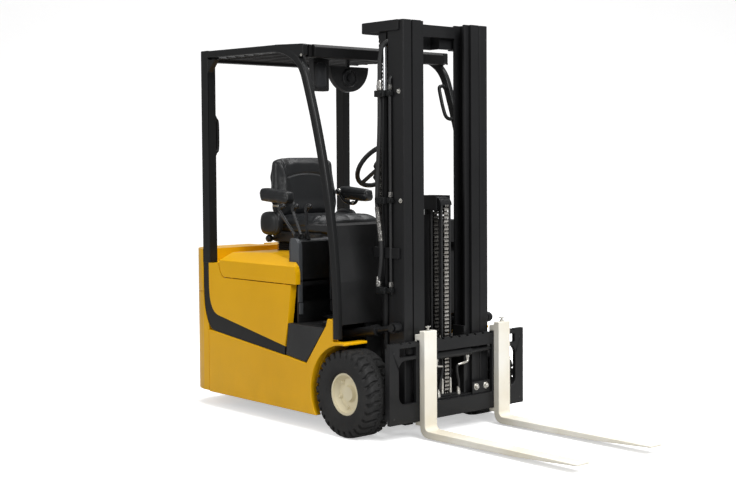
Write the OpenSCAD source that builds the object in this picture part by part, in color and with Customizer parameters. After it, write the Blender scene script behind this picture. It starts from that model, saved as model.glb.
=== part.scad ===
// Three-wheel electric counterbalance truck with a three-stage mast and a side-shifting fork carriage.
// Millimetres, +X towards the forks, +Y to the driver's left, +Z up.
// The modules measure X from the front axle; place() carries them to the middle of the whole truck.

/* [Truck] */
// Length from the tail to the front face of the fork shanks
head_l = 1785; // [1775:1:1815]
// From the front axle to the front face of the fork shanks
load_distance = 320; // [316:1:330]
// From the front axle to the steered axle
wheelbase = 1175; // [1168:1:1178]
// Width over the front tyres
overall_w = 1080; // [1070:1:1110]
// Width over the body sides
body_w = 1076; // [1066:1:1080]
// Underside of the body above the floor
ground_gap = 88; // [80:1:100]
// Height of the lowered mast
mast_h = 2157; // [2130:1:2200]
// Height of the overhead guard
guard_h = 2080; // [2060:1:2100]

/* [Front wheels] */
// Outer diameter of a front tyre
tyre_d = 456; // [440:1:470]
// Width of a front tyre
tyre_w = 178; // [165:1:184]
// Diameter of a front rim
rim_d = 220; // [210:1:240]
// Radius of the wheel spindles
spindle_r = 42; // [36:1:46]

/* [Rear wheels] */
// Outer diameter of a rear tyre
rear_d = 380; // [370:1:390]
// Width of a rear tyre
rear_w = 112; // [104:1:116]
// Diameter of a rear rim
rear_rim_d = 204; // [190:1:214]
// Gap between the twin rear tyres
twin_gap = 60; // [56:1:66]

/* [Body] */
// Length of the counterweight below the band
weight_l = 251; // [245:1:256]
// Height of the counterweight
weight_h = 923; // [900:1:940]
// Radius of the tail corners seen from above
tail_r = 220; // [150:1:240]
// Thickness of the body sides
side_t = 40; // [36:1:44]
// Height of the seam below the hood
seam_z = 767; // [757:1:775]
// Height of the hood's deck below the seat
deck_z = 925; // [915:1:940]
// Height of the driver's floor
floor_z = 590; // [582:1:600]
// Height of the side steps
step_z = 560; // [556:1:570]
// Radius of the front wheel arches
arch_r = 256; // [252:1:260]
// Length of the battery
battery_l = 484; // [460:1:490]
// Height of the battery
battery_h = 627; // [590:1:632]

/* [Guard] */
// Depth of a rear leg along the truck
leg_d = 70; // [60:1:76]
// Width of a rear leg
leg_w = 56; // [48:1:60]
// Thickness of a front pillar along the truck
pillar_d = 46; // [40:1:52]
// Width of a front pillar and its roof rail
pillar_w = 42; // [38:1:46]
// Height of the roof rails
rail_h = 54; // [48:1:60]

/* [Mast] */
// Front face of the mast ahead of the front axle
mast_x = 232; // [228:1:233]
// Depth of the outer and middle rails along the truck
rail_d = 120; // [116:1:120]
// Width of each rail's front face
rail_w = 60; // [58:1:62]
// Thickness of the rail webs
web_t = 14; // [12:1:15]
// Thickness of the rail flanges
flange_t = 15; // [14:1:16]
// Height of the mast pivot
pivot_z = 170; // [166:1:174]
// Radius of the side lift barrels
lift_r = 25; // [24:1:26]
// Radius of the side lift rods
lift_rod_r = 16; // [14:1:18]
// Radius of the free lift barrel
free_r = 36; // [34:1:37]
// Top of the lowered free lift head
head_z = 1250; // [1220:1:1270]

/* [Carriage] */
// Width of the fork carriage
carriage_w = 1000; // [960:1:1000]
// How far the fork carriage is shifted to the left at rest
shift_y = 40; // [0:1:40]
// Lower edge of the fork carriage
carriage_z = 92; // [88:1:96]
// Upper edge of the fork carriage
carriage_top = 509; // [500:1:516]
// Length of a fork blade ahead of the shank
fork_l = 1000; // [950:10:1150]
// Width of a fork
fork_w = 90; // [80:1:100]
// Thickness of a fork at the heel
fork_t = 38; // [35:1:38]
// Underside of the fork heels above the floor
fork_gap = 10; // [8:1:16]
// Top of the fork shanks
shank_z = 560; // [550:1:570]
// Middle of the right fork from the truck's middle
right_fork_y = 208; // [190:1:230]
// Middle of the left fork from the truck's middle
left_fork_y = 346; // [330:1:360]

/* [Hidden] */
$fn = 48;
axle_x = (head_l - fork_l) / 2 - load_distance;
tail_x = load_distance - head_l;
weight_x = tail_x + weight_l;
tyre_r = tyre_d / 2;
wheel_y = (overall_w - tyre_w) / 2;
rear_r = rear_d / 2;
twin_y = (twin_gap + rear_w) / 2;
steer_x = -wheelbase;
well_r = 246;
side_y = body_w / 2;
inner_y = side_y - side_t;
battery_w = 2 * inner_y - 96;
band_x = weight_x - 51;
shelf_z = seam_z + 79;
arch_x = -2;
arch_z = tyre_r - 3;
fender_z = arch_z + arch_r;
fender_t = 15;
fender_x = 122;
fender_in = wheel_y - tyre_w / 2 + 16;
hub_y = wheel_y - tyre_w * 0.38 + 2;
wall_x = -424;
wall_t = 12;
seam_l = 60;
guard_y = side_y + 2;
leg_x = band_x + 4 + leg_d;
pillar_y = guard_y - pillar_w;
visor_x = -271;
bend_z = guard_h - 200;
mast_y = wheel_y - tyre_w / 2 - 53;
mast_back = mast_x - rail_d;
roller_x = mast_x - rail_d / 2;
mid_y = mast_y - rail_w - 5;
mid_in = mid_y - rail_w;
inner_out = mid_y - rail_w / 2 - web_t / 2 - 4;
inner_in = mid_in - 34;
inner_front = mast_x - flange_t - 3;
inner_back = mast_back + flange_t + 3;
mast_z = 70;
pivot_x = mast_back - 36;
lift_x = mast_back - 50;
lift_y = mast_y - 34;
lift_base = 310;
lift_top = mast_h - 357;
sheave_z = mast_h - 79;
chain_r = 40;
bow_x = -100;
bow_t = 12;
tie_x = -14;
tilt_y = mast_y + 36;
plate_y = mast_y + 32;
tilt_rear = [-330, 480];
tilt_eye = [190, 575];
tilt_a = atan2(tilt_eye[1] - tilt_rear[1], tilt_eye[0] - tilt_rear[0]);
tilt_l = norm(tilt_eye - tilt_rear);
free_x = mast_back - 20;
head_axis_x = mast_x - 50;
head_axis_z = head_z - 52;
head_r = 38;
shank_x = load_distance - fork_t;
shift_front = shank_x - 0.3;
shift_back = shift_front - 22;
bar_back = mast_x + 5;
bar_front = shift_back - 3;
shift_open = 250;
shift_c = [bar_back + 23, carriage_top - 94];
hood_front = -382;
hood_rear = weight_x + 114;
seat_rear = hood_front - 612;
console_x = hood_front - 106;
console_in = inner_y - 237;
console_z = deck_z + 87;
hinge = [hood_rear - 19, shelf_z + 22];
wheel_tilt = 50;
wheel_c = [-292, 1412];

yellow = "#f2b91d";
black = "#23252a";
grey = "#5b5e62";
cream = "#e9e3d3";
steel = "#b9bcc0";
rubber = "#2a2a2b";

// Points of a bow from a to c drawn towards b.
function bow(a, b, c, n = 10) =
    [for (i = [0:n]) let (t = i / n) (1 - t) * (1 - t) * a + 2 * t * (1 - t) * b + t * t * c];

// A path given a thickness t: the points moved half of it to one side, then back along the other.
function strip(p, t) = let (
        n = len(p),
        d = [for (i = [0:n - 1]) p[min(i + 1, n - 1)] - p[max(i - 1, 0)]],
        s = [for (v = d) [-v[1], v[0]] / norm(v) * t / 2])
    concat([for (i = [0:n - 1]) p[i] + s[i]], [for (i = [n - 1:-1:0]) p[i] - s[i]]);

module place() {
    translate([axle_x, 0, 0]) children();
}

// The same piece on the right, where it is drawn, and on the left.
module both() {
    children();
    mirror([0, 1, 0]) children();
}

// A side profile carried across from y0 to y1.
module across(y0, y1) {
    translate([0, y1, 0]) rotate([90, 0, 0]) linear_extrude(y1 - y0) children();
}

// A box from one corner to the other.
module box(a, b) {
    translate(a) cube(b - a);
}

// A round bar across the truck from y0 to y1.
module round_y(x, z, r, y0, y1) {
    translate([x, y1, z]) rotate([90, 0, 0]) cylinder(r = r, h = y1 - y0);
}

// A round bar from point a to point b.
module bar(a, b, r) {
    v = b - a;
    translate(a) rotate([0, acos(v[2] / norm(v)), atan2(v[1], v[0])]) cylinder(r = r, h = norm(v));
}

// Wheels stand with their outer face to the right.
module wheel_at(x, y, z) {
    translate([x, y, z]) rotate([90, 0, 0]) children();
}

module tyre(d, w, rim) {
    r = d / 2;
    rotate_extrude($fn = 72) polygon([[rim / 2, -w * 0.38], [rim / 2 + 18, 4 - w / 2],
        [r * 0.8, -w / 2], [r - 16, 6 - w / 2], [r, 24 - w / 2], [r, w / 2 - 24],
        [r - 16, w / 2 - 6], [r * 0.8, w / 2], [rim / 2 + 18, w / 2 - 4], [rim / 2, w * 0.38]]);
}

// A dished disc on a bored sleeve: off is the disc's place, bore the spindle's hole.
module rim(d, w, bore, off) {
    r = d / 2;
    s = w * 0.38;
    rotate_extrude($fn = 72) polygon([[bore, 10 - s], [bore, off - 4], [0, off - 4], [0, off + 26],
        [bore - 6, off + 26], [bore + 4, off + 9], [r - 30, off + 9], [r - 10, s - 12], [r - 10, s],
        [r, s], [r, -s], [r - 10, -s], [r - 10, off - 22], [bore + 16, off - 9], [bore + 16, 10 - s]]);
}

module tyre_right() {
    color(rubber) wheel_at(0, -wheel_y, tyre_r) tyre(tyre_d, tyre_w, rim_d);
}

module rim_right() {
    color(cream) wheel_at(0, -wheel_y, tyre_r) rim(rim_d, tyre_w, spindle_r, 22);
}

module tyre_left() {
    mirror([0, 1, 0]) tyre_right();
}

module rim_left() {
    mirror([0, 1, 0]) rim_right();
}

module drive_axle() {
    lug_y = [5 - mast_y, 59 - mast_y];
    color(black) {
        difference() {
            union() {
                round_y(0, tyre_r, 45, -plate_y + 21, plate_y - 21);
                round_y(-60, tyre_r, 95, -230, 230);
                both() {
                    round_y(0, tyre_r, 92, -plate_y - 9, 23 - plate_y);
                    box([-60, -plate_y - 7, tyre_r], [20, 21 - plate_y, tyre_r + 117]);
                    round_y(0, tyre_r, 70, -hub_y, -plate_y - 9);
                    round_y(0, tyre_r, spindle_r - 0.3, -wheel_y - 17, -hub_y);
                    for (y = lug_y) across(y, y + 16) pivot_lug();
                }
            }
            both() round_y(pivot_x, pivot_z, 20, lug_y[0] - 1, lug_y[1] + 17);
        }
        both() round_y(pivot_x, pivot_z, 20, lug_y[0], lug_y[1] + 16);
    }
}

module pivot_lug() {
    translate([pivot_x, pivot_z]) circle(30);
    polygon([[0, tyre_r + 50], [pivot_x + 16, pivot_z + 25], [pivot_x - 20, pivot_z - 22],
        [-20, tyre_r - 40]]);
}

module steer_turret() {
    color(black) {
        translate([steer_x, 0, 428]) cylinder(r = 44.7, h = 34);
        translate([steer_x, 0, 404]) cylinder(r = 120, h = 24);
        box([steer_x - 70, -20, rear_r - 50], [steer_x + 70, 20, 404]);
        round_y(steer_x, rear_r, 29.7, 4 - twin_y - rear_w * 0.38, twin_y + rear_w * 0.38 - 4);
    }
}

module rear_tyres() {
    color(rubber) both() wheel_at(steer_x, -twin_y, rear_r) tyre(rear_d, rear_w, rear_rim_d);
}

module rear_rims() {
    color(cream) both() wheel_at(steer_x, -twin_y, rear_r) rear_rim();
}

module rear_rim() {
    r = rear_rim_d / 2;
    s = rear_w * 0.38;
    rotate_extrude($fn = 72) polygon([[30, 8 - s], [30, s - 3], [0, s - 3], [0, s + 6], [44, s + 6],
        [52, 12], [r - 24, 12], [r - 9, s - 8], [r - 9, s], [r, s], [r, -s], [r - 9, -s],
        [r - 9, -10], [46, -4], [46, 8 - s]]);
}

// Lower and upper edge of the dark band along each side, from the rear leg forward to the step.
function band_low() = concat(
    [[band_x, shelf_z], [band_x, shelf_z - 150]],
    bow([band_x, shelf_z - 160], [band_x + 8, seam_z - 306], [weight_x + 60, seam_z - 316]),
    [[wall_x - 66, step_z - 177]]);
function band_high() = concat(
    [[weight_x + 2, shelf_z], [weight_x + 4, shelf_z - 150]],
    bow([weight_x + 5, shelf_z - 160], [weight_x + 14, seam_z - 208], [weight_x + 100, seam_z - 222]),
    [[wall_x - 60, step_z - 129]]);

// The yellow side below the band, from the counterweight to the front pillar's foot.
module chassis_side() {
    difference() {
        polygon([[weight_x, ground_gap], [arch_x, ground_gap], [fender_x, fender_z],
            [fender_x, fender_z + fender_t], [-72, fender_z + fender_t], [-71, step_z + 52],
            [-117, step_z + 52], [-130, step_z + 14], [-298, step_z - 201],
            [wall_x - 51, step_z - 179], [wall_x - 66, step_z - 179],
            [weight_x + 60, seam_z - 318], [weight_x, seam_z - 314]]);
        translate([arch_x, arch_z]) circle(arch_r, $fn = 96);
        translate([arch_x, 0]) square([300, fender_z]);
    }
}

module chassis_sides() {
    color(yellow) both() across(-side_y, -inner_y) chassis_side();
}

// The wheel houses over the front tyres.
module fenders() {
    color(yellow) both() across(-inner_y, -fender_in) difference() {
        union() {
            translate([arch_x, arch_z]) circle(arch_r + fender_t, $fn = 96);
            translate([arch_x, fender_z]) square([fender_x - arch_x, fender_t]);
        }
        translate([arch_x, arch_z]) circle(arch_r, $fn = 96);
        translate([arch_x, -400]) square([600, 400 + fender_z]);
        translate([-600, -400]) square([1200, 400 + ground_gap + 16]);
    }
}

module chassis_frame() {
    wall_f = wall_x + wall_t;
    color(black) {
        both() {
            // longitudinal plates carried by the axle
            box([wall_f, -plate_y, tyre_r + 117], [20, 16 - plate_y, tyre_r + 157]);
            // brackets that carry the wheel houses
            box([-262, -fender_in, tyre_r + 72], [-236, -plate_y, tyre_r + 157]);
            // tilt cylinder lugs with their pins
            for (y = [-tilt_y - 28, 16 - tilt_y]) box([wall_f, y, tilt_rear[1] - 25],
                [tilt_rear[0] + 18, y + 12, tilt_rear[1] + 25]);
            round_y(tilt_rear[0], tilt_rear[1], 14, -tilt_y - 27, 27 - tilt_y);
        }
        difference() {
            union() {
                box([weight_x, -inner_y, ground_gap], [wall_x + 124, inner_y, ground_gap + 16]);
                box([-95, 41 - plate_y, tyre_r + 129], [-80, plate_y - 41, floor_z - 12]);
                box([wall_f, 16 - plate_y, tyre_r + 117], [-80, plate_y - 16, tyre_r + 129]);
                box([weight_x, -inner_y, 430], [wall_x - 9 - battery_l, inner_y, 455]);
            }
            translate([steer_x, 0, 0]) cylinder(r = well_r, h = 429);
            translate([steer_x, 0, 400]) cylinder(r = 45, h = 80);
        }
    }
}

// Upright wall between the driver's feet and the battery.
module battery_wall() {
    color(black) box([wall_x, 1 - inner_y, ground_gap + 16], [wall_x + wall_t, inner_y - 1, seam_z - 5]);
}

module counterweight() {
    color(yellow) difference() {
        union() {
            translate([0, 0, ground_gap + 6]) weight_block(band_x, weight_h);
            box([band_x, -side_y, ground_gap + 6], [weight_x, side_y, shelf_z]);
            box([weight_x, -inner_y, shelf_z - 60], [hinge[0] + 12, inner_y, shelf_z]);
            for (y = [-238, -180, 172, 230]) across(y, y + 8) hinge_lug();
            for (y = [-230, 180]) round_y(hinge[0], hinge[1], 8, y, y + 50);
        }
        translate([steer_x, 0, 0]) cylinder(r = well_r, h = 429);
        translate([steer_x, 0, 400]) cylinder(r = 45, h = 80);
        // room for the band at both sides
        both() across(-side_y - 1, -inner_y)
            polygon(concat(band_low(), [[wall_x, shelf_z + 1], [band_x, shelf_z + 1]]));
        // groove round the casting below its upper part
        difference() {
            box([tail_x - 1, -side_y - 1, 670], [band_x, side_y + 1, 676]);
            translate([0, 0, 600]) weight_block(band_x, 900, 8);
        }
        // jaw for a tow bar with its upright pin hole and the way down to it
        box([tail_x - 1, -60, 500], [tail_x + 95, 60, 570]);
        box([tail_x - 1, -55, 610], [tail_x + 90, 55, weight_h + 1]);
        translate([tail_x + 50, 0, 455]) cylinder(r = 16, h = 200);
    }
}

module hinge_lug() {
    translate([hinge[0], hinge[1]]) circle(16);
    translate([hinge[0] - 16, shelf_z]) square([32, 22]);
}

module weight_block(x1, top, in = 0) {
    h = top - ground_gap - 6;
    c = side_y - tail_r;
    difference() {
        union() {
            translate([tail_x + in, -c, 0]) cube([x1 - tail_x - in, 2 * c, h]);
            translate([tail_x + tail_r, in - side_y, 0]) cube([tail_r, 2 * side_y - 2 * in, h]);
            for (s = [-1, 1]) translate([tail_x + tail_r, s * c, 0])
                cylinder(r = tail_r - in, h = h, $fn = 96);
        }
        translate([x1, -1000, -1]) cube([1000, 2000, h + 2]);
    }
}

module battery() {
    color(grey) box([wall_x - 5 - battery_l, -battery_w / 2, ground_gap + 16],
        [wall_x - 5, battery_w / 2, ground_gap + 16 + battery_h]);
}

module panel_side() {
    polygon(concat([for (p = band_high()) p + [6, 0]],
        [[wall_x - 57, step_z - 124], [wall_x - 33, step_z - 12], [wall_x + 1, seam_z],
            [hood_rear + seam_l - 4, seam_z]],
        bow([hood_rear + seam_l - 8, seam_z], [hood_rear + 8, seam_z + 4], [hood_rear - 6, shelf_z])));
}

module side_panels() {
    color(yellow) both() {
        across(-side_y, -inner_y) panel_side();
        for (x = [hood_rear + 110, wall_x - 76]) translate([x, -side_y + 20, seam_z])
            cylinder(r = 12, h = 4.7);
    }
}

module side_bands() {
    n = len(band_high());
    color(black) both() across(-side_y + 4, -inner_y)
        polygon(concat(band_low(), [for (i = [n - 1:-1:0]) band_high()[i]]));
}

module steps() {
    color(grey) both() {
        across(-side_y + 3, -inner_y) polygon([[wall_x - 28, step_z], [-146, step_z],
            [-302, step_z - 196], [wall_x - 51, step_z - 174]]);
        box([wall_x + wall_t, -inner_y, step_z - 15], [-200, -332, step_z]);
    }
}

module floor_plate() {
    color(black) {
        box([wall_x + wall_t, -330, floor_z - 12], [-97, 330, floor_z]);
        box([-200, 3 - pillar_y, floor_z - 12], [-97, pillar_y - 3, floor_z]);
        // pedals
        for (y = [-150, -40]) {
            box([-165, y, floor_z + 40], [-150, y + 70, floor_z + 130]);
            bar([-157, y + 35, floor_z], [-157, y + 35, floor_z + 45], 7);
        }
    }
}

module front_cowl() {
    color(black) {
        across(3 - pillar_y, pillar_y - 3) polygon([[-97, floor_z - 12], [-65, floor_z - 12], [-80, 800],
            [-112, 985], [-125, 1095], [-330, 1095], [-330, 1070], [-165, 1062], [-140, 975],
            [-112, 800], [-97, floor_z + 12]]);
        // column cover up to the steering wheel
        across(-55, 55) polygon([[-135, 1095], [-235, 1095], [wheel_c[0] + 4, wheel_c[1] - 45],
            [wheel_c[0] + 34, wheel_c[1] - 22], [wheel_c[0] + 128, 1300]]);
        translate([wheel_c[0], 0, wheel_c[1]]) rotate([0, -wheel_tilt, 0])
            translate([0, 0, -60]) cylinder(r = 14.7, h = 52);
    }
}

module lever_console() {
    front = wall_x + 8;
    color(grey) across(1 - inner_y, -console_in) polygon(concat(
        [[console_x, seam_z + 8], [front, seam_z + 8], [front, console_z - 30]],
        bow([front, console_z - 30], [front, console_z], [front - 30, console_z], 6),
        bow([console_x + 30, console_z], [console_x, console_z], [console_x, console_z - 30], 6)));
}

// Three levers, each a short upright stem, a leaning bar and a round grip.
module control_levers() {
    lean = [-148, -74, -6];
    color(black) for (i = [0:2]) {
        foot = [wall_x - 32 + 8 * i, 68 + 30 * i - inner_y - 40, console_z];
        knee = foot + [0, 0, 60];
        grip = knee + [lean[i], 0, 112];
        bar(foot, knee + [0, 0, 3], 7);
        bar(knee, grip, 6);
        bar(grip - [lean[i], 0, 112] / 20, grip + [lean[i], 0, 112] / 8, 13);
    }
}

module guard_legs() {
    color(black) both() {
        box([leg_x - leg_d, -guard_y, shelf_z], [leg_x, leg_w - guard_y, guard_h]);
        // gusset in the upper corner
        across(4 - guard_y, pillar_w - 4 - guard_y) polygon([[leg_x, guard_h - rail_h],
            [leg_x, guard_h - rail_h - 70], [leg_x + 70, guard_h - rail_h]]);
    }
}

module guard_pillars() {
    path = bow([38, fender_z + fender_t], [-20, 1110], [-318, bend_z], 14);
    color(black) both() across(-guard_y, -pillar_y) difference() {
        polygon(strip(concat([[40, fender_z]], path), pillar_d + 4));
        translate([-200, 0]) square([400, fender_z + fender_t]);
        translate([-500, bend_z]) square([500, 400]);
    }
}

// The roof rails, bent on from the pillars, with the cheeks beside the front beam.
module guard_rails() {
    path = concat([[-314, bend_z - 10]],
        bow([-319, bend_z], [-372, guard_h - 40], [-560, guard_h - rail_h / 2], 10),
        [[leg_x, guard_h - rail_h / 2]]);
    color(black) both() across(-guard_y, -pillar_y) difference() {
        union() {
            polygon(strip(path, pillar_d + 4));
            polygon([[-345, guard_h - 95], [-300, guard_h - 80], [-300, guard_h - 22],
                [-560, guard_h - 10], [-470, guard_h - 50]]);
        }
        translate([-500, bend_z - 180]) square([500, 180]);
        translate([leg_x - 200, bend_z]) square([200, 400]);
    }
}

module guard_roof() {
    color(black) {
        // front beam with its visor, then the plate behind it
        across(-pillar_y, pillar_y) polygon([[visor_x - 60, guard_h - 92], [visor_x - 29, guard_h - 92],
            [visor_x - 29, guard_h - 24], [-470, guard_h - 16], [-470, guard_h - 30],
            [visor_x - 60, guard_h - 30]]);
        across(-guard_y + 61, guard_y - 61) polygon([[visor_x - 30, guard_h - 92],
            [visor_x - 4, guard_h - 92], [visor_x, guard_h - 40], [visor_x - 14, guard_h - 24], [visor_x - 30, guard_h - 24]]);
        // rear beam and slats
        box([leg_x - leg_d + 10, leg_w - guard_y, guard_h - 66], [leg_x, guard_y - leg_w, guard_h - 6]);
        for (i = [0:7]) translate([-548 + (leg_x + 548 + 38) * i / 7, 0, guard_h - 30])
            rotate([0, 55, 0]) translate([-26, -pillar_y, -5]) cube([52, 2 * pillar_y, 10]);
    }
}

module work_lamp() {
    color(black) {
        box([-460, -372, guard_h - 262], [-418, -262, guard_h - 84]);
        box([-446, -331, guard_h - 84], [-434, -303, guard_h - 30]);
    }
}

// Half a disc with its flat edge up, hung from the roof.
module rear_mirror() {
    r = 140;
    y = -97;
    z = guard_h - 119;
    color(black) {
        difference() {
            translate([-470, y, z]) rotate([0, 90, 0]) cylinder(r = r, h = 30);
            box([-480, y - r, z], [-430, y + r, z + r]);
        }
        box([-462, y - 10, z - 5], [-450, y + 10, guard_h - 30]);
    }
}

// A bent round bar through four points.
module loop(p) {
    for (i = [0:2]) bar(p[i], p[i + 1], 11);
    for (i = [1:2]) translate(p[i]) sphere(11.6, $fn = 24);
}

module grab_handles() {
    y = leg_w - guard_y;
    x = leg_x - 18;
    high = [bend_z - 20, bend_z - 190];
    low = [bend_z - 208, bend_z - 392];
    out = pillar_y - 58;
    color(black) {
        loop([[-312, pillar_y, high[0]], [-312, out, high[0]], [-240, out, low[0]],
            [-240, pillar_y, low[0]]]);
        loop([[x, y, high[1]], [x, y + 34, high[1]], [x, y + 34, low[1]], [x, y, low[1]]]);
    }
}

module hood_profile(top) {
    polygon(concat([[hood_front, seam_z + 5], [hood_rear + seam_l - 2, seam_z + 5]],
        bow([hood_rear + seam_l - 6, seam_z + 5], [hood_rear + 12, seam_z + 10],
            [hood_rear, shelf_z + 4], 8),
        [[hood_rear, shelf_z + 14], [hood_rear + 46, top - 14], [hood_front - 335, top],
            [hood_front - 38, top - 32], [hood_front - 9, top - 58], [hood_front, top - 90]]));
}

module hood() {
    color(yellow) {
        difference() {
            across(-side_y, side_y) hood_profile(deck_z);
            box([hood_rear + 30, -inner_y + 8, 0], [hood_front - 30, inner_y - 8, deck_z - 80]);
            // sloped upper edges
            both() translate([0, -side_y, deck_z - 58]) rotate([-55, 0, 0])
                translate([hood_rear - 100, -200, 0]) cube([1000, 200, 200]);
            // room for the lever console
            box([console_x, -inner_y - 7, 0], [hood_front + 1, 8 - console_in, console_z]);
        }
        for (y = [-230, 180]) difference() {
            union() {
                round_y(hinge[0], hinge[1], 16, y + 1, y + 49);
                box([hinge[0], y + 1, hinge[1] - 8], [hood_rear + 30, y + 49, hinge[1] + 8]);
            }
            round_y(hinge[0], hinge[1], 8.3, y, y + 50);
        }
    }
}

module seat_base() {
    color(black) {
        difference() {
            box([seat_rear + 50, -190, deck_z - 60], [seat_rear + 410, 190, deck_z + 40]);
            across(-200, 200) hood_profile(deck_z);
        }
        box([seat_rear + 30, -205, deck_z + 40], [seat_rear + 420, 205, deck_z + 86]);
    }
}

// The cushion with a hip wing on each side.
module seat_cushion() {
    z = deck_z + 86;
    color(black) {
        across(-250, 250) polygon([[seat_rear, z], [seat_rear + 450, z], [seat_rear + 472, z + 34],
            [seat_rear + 470, z + 84], [seat_rear + 440, z + 110], [seat_rear + 70, z + 94],
            [seat_rear, z + 94]]);
        both() across(-325, -248) polygon([[seat_rear + 20, z + 10], [seat_rear + 130, z + 10],
            [seat_rear + 160, z + 60], [seat_rear + 130, z + 118], [seat_rear + 15, z + 128],
            [seat_rear - 5, z + 70]]);
    }
}

// The back narrows towards its top.
module seat_back() {
    z = deck_z + 181;
    color(black) difference() {
        across(-240, 240) polygon([[seat_rear, z], [seat_rear + 70, z], [seat_rear + 82, z + 79],
            [seat_rear + 45, z + 319], [seat_rear + 15, z + 359], [seat_rear - 35, z + 349],
            [seat_rear - 60, z + 239], [seat_rear - 35, z + 39]]);
        both() translate([seat_rear, -240, z + 170]) rotate([-11, 0, 0])
            translate([-200, -200, 0]) cube([400, 200, 300]);
    }
}

module armrests() {
    z = deck_z + 265;
    color(black) both() {
        across(-330, -268) polygon([[seat_rear + 15, z + 15], [seat_rear + 258, z],
            [seat_rear + 272, z + 25], [seat_rear + 262, z + 72], [seat_rear + 20, z + 95],
            [seat_rear, z + 60]]);
        round_y(seat_rear + 25, z + 58, 22, -268, -240);
    }
}

module steering_wheel() {
    color(black) translate([wheel_c[0], 0, wheel_c[1]]) rotate([0, -wheel_tilt, 0]) {
        rotate_extrude($fn = 72) translate([150, 0]) circle(13, $fn = 24);
        difference() {
            translate([0, 0, -25]) cylinder(r = 40, h = 37);
            translate([0, 0, -61]) cylinder(r = 15, h = 55);
        }
        for (a = [90, 210, 330]) rotate(a) translate([30, -11, -12]) cube([112, 22, 12]);
        // spinner knob
        rotate(150) translate([150, 0, 0]) cylinder(r = 20, h = 55);
    }
}

module tilt_turned() {
    both() translate([tilt_rear[0], -tilt_y, tilt_rear[1]]) rotate([0, 90 - tilt_a, 0]) children();
}

module tilt_barrels() {
    color(black) tilt_turned() difference() {
        union() {
            rotate([90, 0, 0]) translate([0, 0, -15]) cylinder(r = 26, h = 30);
            translate([0, 0, 16]) cylinder(r = 14, h = 20);
            translate([0, 0, 32]) cylinder(r = 27, h = tilt_l - 172);
            translate([0, 0, tilt_l - 158]) cylinder(r = 31, h = 30);
        }
        rotate([90, 0, 0]) translate([0, 0, -16]) cylinder(r = 14.3, h = 32);
        translate([0, 0, 60]) cylinder(r = 16.3, h = tilt_l);
    }
}

module tilt_rods() {
    color(steel) tilt_turned() difference() {
        union() {
            translate([0, 0, tilt_l]) rotate([90, 0, 0]) translate([0, 0, -13]) cylinder(r = 27, h = 26);
            translate([0, 0, tilt_l - 320]) cylinder(r = 16, h = 295);
        }
        translate([0, 0, tilt_l]) rotate([90, 0, 0]) translate([0, 0, -14]) cylinder(r = 13.5, h = 28);
    }
}

// A channel standing from z0 to z1, its web at y0 and its flanges towards y1.
module channel(x0, x1, y0, y1, tw, tf, z0, z1) {
    translate([0, 0, z0]) linear_extrude(z1 - z0) polygon([[x0, y0], [x1, y0], [x1, y1], [x1 - tf, y1],
        [x1 - tf, y0 + tw], [x0 + tf, y0 + tw], [x0 + tf, y1], [x0, y1]]);
}

module outer_rails() {
    color(black) both() channel(mast_back, mast_x, -mast_y, rail_w - mast_y, web_t, flange_t,
        mast_z, mast_h);
}

// One arm of a tie bent round behind the mast, from the side of an outer rail back to its corner at x.
module tie_arm(x, z0, z1) {
    r = 40;
    translate([0, 0, z0]) linear_extrude(z1 - z0) {
        translate([x + r, -mast_y - bow_t]) square([mast_x - 30 - x - r, bow_t]);
        difference() {
            translate([x + r, r - mast_y - bow_t]) circle(r);
            translate([x + r, r - mast_y - bow_t]) circle(r - bow_t);
            translate([x + r, -mast_y - bow_t - 1]) square([100, 100]);
            translate([x - 1, r - mast_y - bow_t]) square([100, 100]);
        }
    }
}

module tie_arms() {
    color(black) both() {
        tie_arm(bow_x, mast_h - 54, mast_h);
        tie_arm(tie_x, 930, 985);
    }
}

module outer_ties() {
    y = mast_y + bow_t - 40;
    color(black) {
        box([bow_x, -y, mast_h - 54], [bow_x + bow_t, y, mast_h]);
        box([tie_x, -y, 930], [tie_x + bow_t, y, 985]);
        box([mast_back - 19, -mast_y, mast_z], [mast_back - 6, mast_y, 128]);
        both() {
            box([mast_back - 19, -mast_y, mast_z], [mast_back, rail_w - mast_y, 128]);
            // chain anchors on the middle tie
            box([tie_x + bow_t, 0.5 - y, 960], [lift_x - 30, 14 - lift_y, 985]);
        }
    }
}

// Feet, pivot brackets, pins and guide rollers on the outer rails.
module mast_brackets() {
    color(black) both() {
        difference() {
            across(27 - mast_y, 53 - mast_y) {
                translate([pivot_x, pivot_z]) circle(32);
                polygon([[pivot_x, pivot_z - 32], [mast_back, 132], [mast_back, 290],
                    [pivot_x - 10, pivot_z + 30]]);
            }
            round_y(pivot_x, pivot_z, 20.3, 26 - mast_y, 54 - mast_y);
        }
        // feet of the lift barrels
        box([lift_x - 32, -mast_y, lift_base - 20], [mast_back, rail_w - mast_y, lift_base]);
        // tilt rod pins
        round_y(tilt_eye[0], tilt_eye[1], 24, 15 - tilt_y, -mast_y);
        round_y(tilt_eye[0], tilt_eye[1], 12, -tilt_y - 19, 15 - tilt_y);
        round_y(tilt_eye[0], tilt_eye[1], 20, -tilt_y - 25, -tilt_y - 19);
        // guide rollers near the top
        round_y(roller_x, mast_h - 70, 14, web_t - mast_y, -mid_y - 1);
        round_y(roller_x, mast_h - 70, rail_d / 2 - flange_t - 0.5, -mid_y - 1, -mid_y + 20);
    }
}

module lift_barrels() {
    color(black) both() difference() {
        union() {
            translate([lift_x, -lift_y, lift_base]) cylinder(r = lift_r, h = lift_top - lift_base);
            translate([lift_x, -lift_y, lift_top - 40]) cylinder(r = lift_r + 4, h = 40);
        }
        translate([lift_x, -lift_y, lift_base + 20]) cylinder(r = lift_rod_r + 0.3, h = lift_top);
    }
}

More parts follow.
